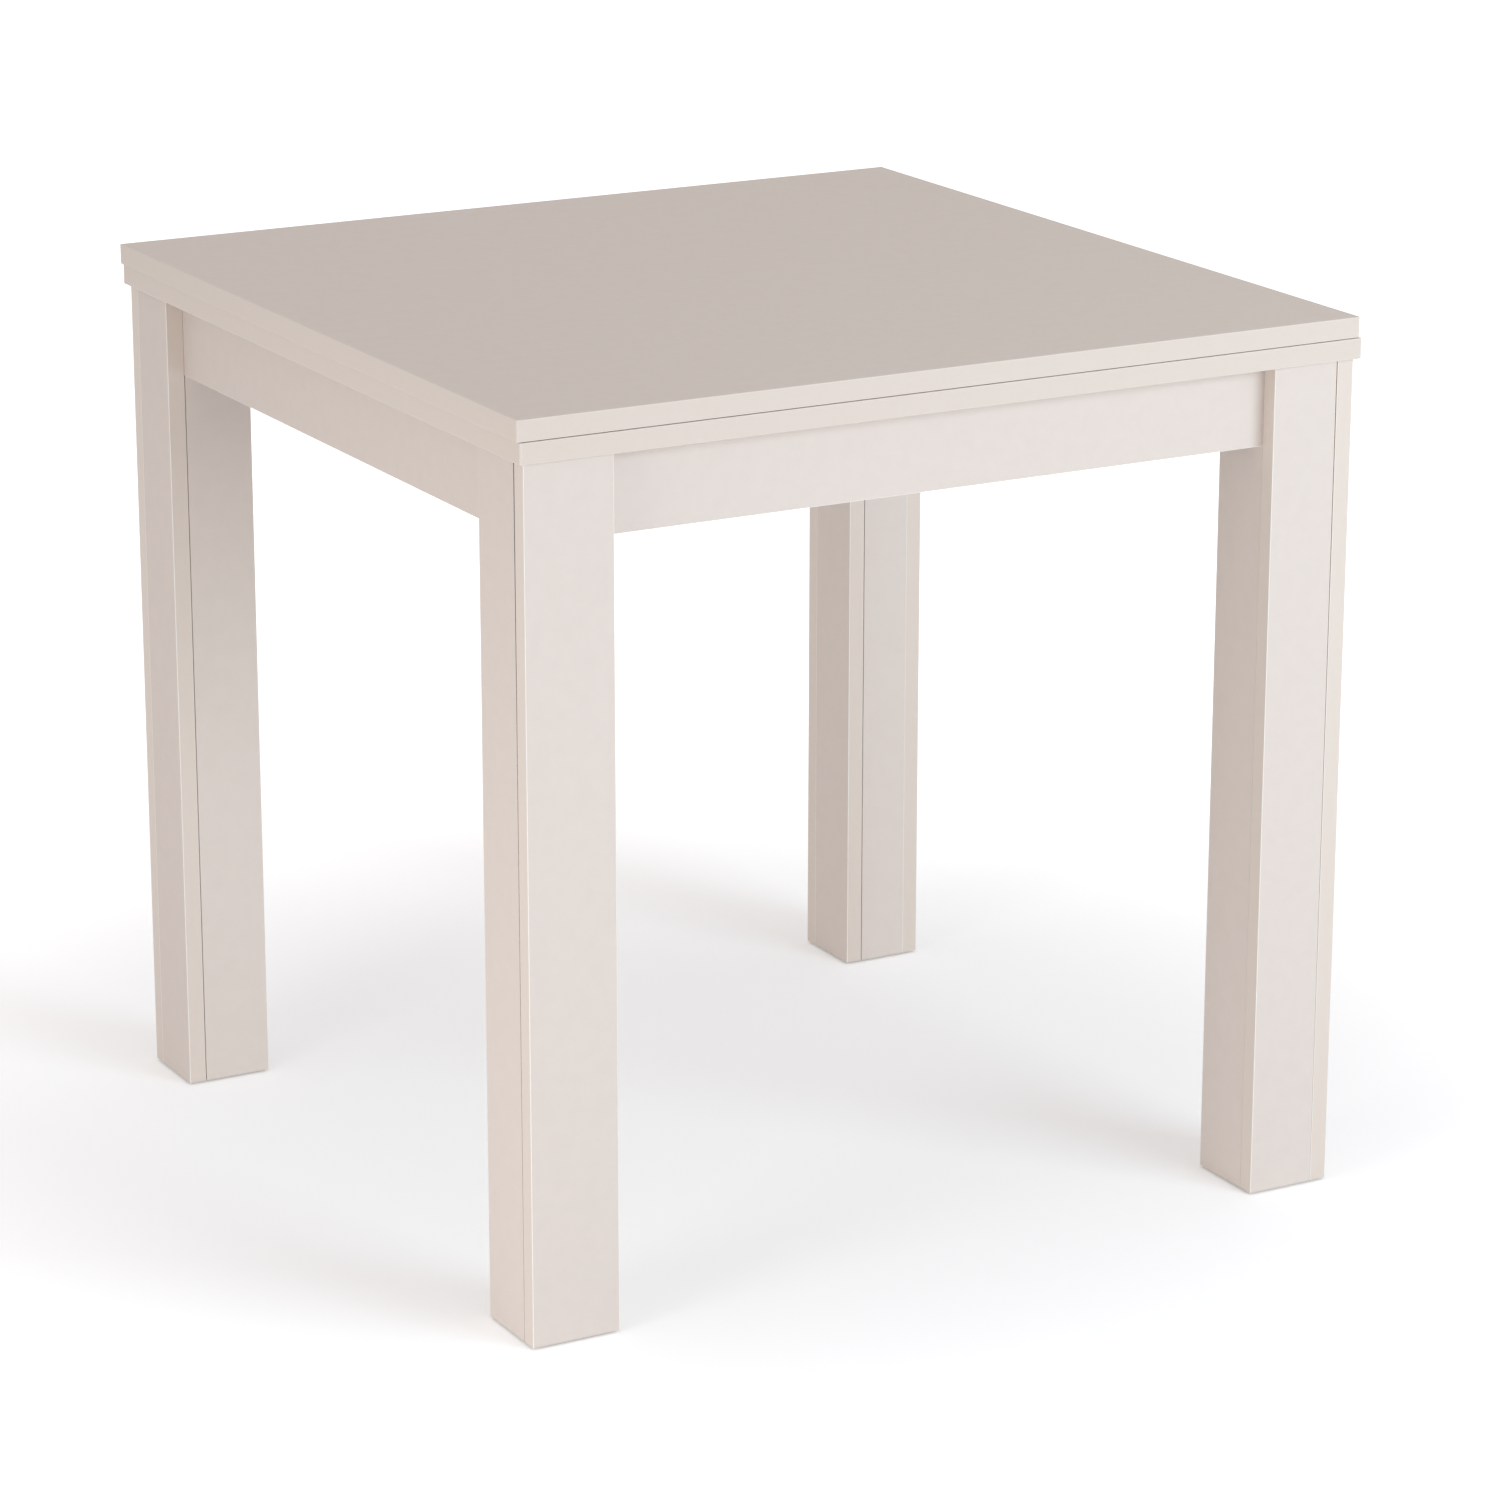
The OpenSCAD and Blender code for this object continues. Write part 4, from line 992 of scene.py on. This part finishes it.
# %% Rays that see the studio
def seeing_rays(tree):
    """1 for camera, glossy and transmission rays, 0 for all that carry light."""
    rays = add(tree, "LightPath")
    seen = add(tree, "Math", {0: rays.outputs["Is Camera Ray"],
                              1: rays.outputs["Is Glossy Ray"]}, operation="MAXIMUM")
    seen = add(tree, "Math", {0: seen.outputs[0], 1: rays.outputs["Is Transmission Ray"]},
               operation="MAXIMUM")
    return seen.outputs[0]


# %% Floor
FLOOR_SIDE = 30.0
NEAR_WHITE, FAR_WHITE = 0.23, 0.75
WHITE_START, WHITE_END = 0.35, 1.6
half = FLOOR_SIDE / 2
floor_mesh = bpy.data.meshes.new("floor")
floor_mesh.from_pydata([(-half, -half, 0), (half, -half, 0), (half, half, 0), (-half, half, 0)],
                       [], [(0, 1, 2, 3)])
floor = bpy.data.objects.new("floor", floor_mesh)
SCENE.collection.objects.link(floor)

floor_paint = bpy.data.materials.new("studio_floor")
floor_paint.use_nodes = True
tree = floor_paint.node_tree
tree.nodes.clear()
place = add(tree, "TexCoord")
distance = add(tree, "VectorMath", {0: place.outputs["Object"]}, operation="LENGTH")
white = add(tree, "MapRange", {"Value": distance.outputs["Value"], "From Min": WHITE_START,
                               "From Max": WHITE_END, "To Min": NEAR_WHITE,
                               "To Max": FAR_WHITE}, interpolation_type="SMOOTHSTEP")
white = add(tree, "Math", {0: white.outputs["Result"], 1: seeing_rays(tree)},
            operation="MULTIPLY")
paint = add(tree, "BsdfDiffuse", {"Color": linear("#F5F7F9")})
light = add(tree, "Emission", {"Color": linear("#FFFFFF"), "Strength": white.outputs[0]})
both = add(tree, "AddShader", {0: paint.outputs[0], 1: light.outputs[0]})
add(tree, "OutputMaterial", {"Surface": both.outputs[0]})
floor_mesh.materials.append(floor_paint)
print("floor:", FLOOR_SIDE, "m")

# %% World
WORLD_STRENGTH = 0.595
world = bpy.data.worlds.new("studio")
SCENE.world = world
world.use_nodes = True
tree = world.node_tree
tree.nodes.clear()
fill = add(tree, "Background", {"Color": linear("#FFF9F6"), "Strength": WORLD_STRENGTH})
backdrop = add(tree, "Background", {"Color": linear("#FFFFFF"), "Strength": 1.0})
pick = add(tree, "MixShader", {0: seeing_rays(tree), 1: fill.outputs[0],
                               2: backdrop.outputs[0]})
add(tree, "OutputWorld", {"Surface": pick.outputs[0]})
print("world:", WORLD_STRENGTH)

# %% [markdown]
# Two soft boxes do the work, as the shades of the faces in the photograph tell. The larger one
# stands in front on the right, its middle twice as high as the table, and is slightly cool. A
# small one stands low on the left and looks down at the floor beside the nearest leg. It has
# a honeycomb grid that narrows its beam, so that the left faces of the legs grow lighter
# towards the floor while the edges of the top stay as they are.

# %% Soft boxes
def softbox(name, position, aim, width, height, power, colour, spread=180.0):
    """Rectangular area lamp at a position, turned to the point that it lights. The spread is
    the angle of its beam in degrees."""
    lamp = bpy.data.lights.new(name, "AREA")
    lamp.shape = "RECTANGLE"
    lamp.size, lamp.size_y = width, height
    lamp.energy = power
    lamp.color = linear(colour)[:3]
    lamp.spread = math.radians(spread)
    holder = bpy.data.objects.new(name, lamp)
    SCENE.collection.objects.link(holder)
    z = np.array(position, float) - np.array(aim, float)
    z /= np.linalg.norm(z)
    x = np.cross((0, 0, 1), z)
    x /= np.linalg.norm(x)
    matrix = np.eye(4)
    matrix[:3, 0], matrix[:3, 1], matrix[:3, 2], matrix[:3, 3] = x, np.cross(z, x), z, position
    holder.matrix_world = Matrix(matrix.tolist())


softbox("front_softbox", position=(1.5, -3.3, 1.6), aim=(0.3, -0.3, 0.5), width=2.0,
        height=1.5, power=59.0, colour="#E5F4FF")
softbox("left_softbox", position=(-2.2, -0.9, 0.5), aim=(-0.5, -0.4, 0.0), width=0.8,
        height=0.6, power=3.2, colour="#FFFFFF", spread=90.0)
SCENE.view_settings.view_transform = "Standard"
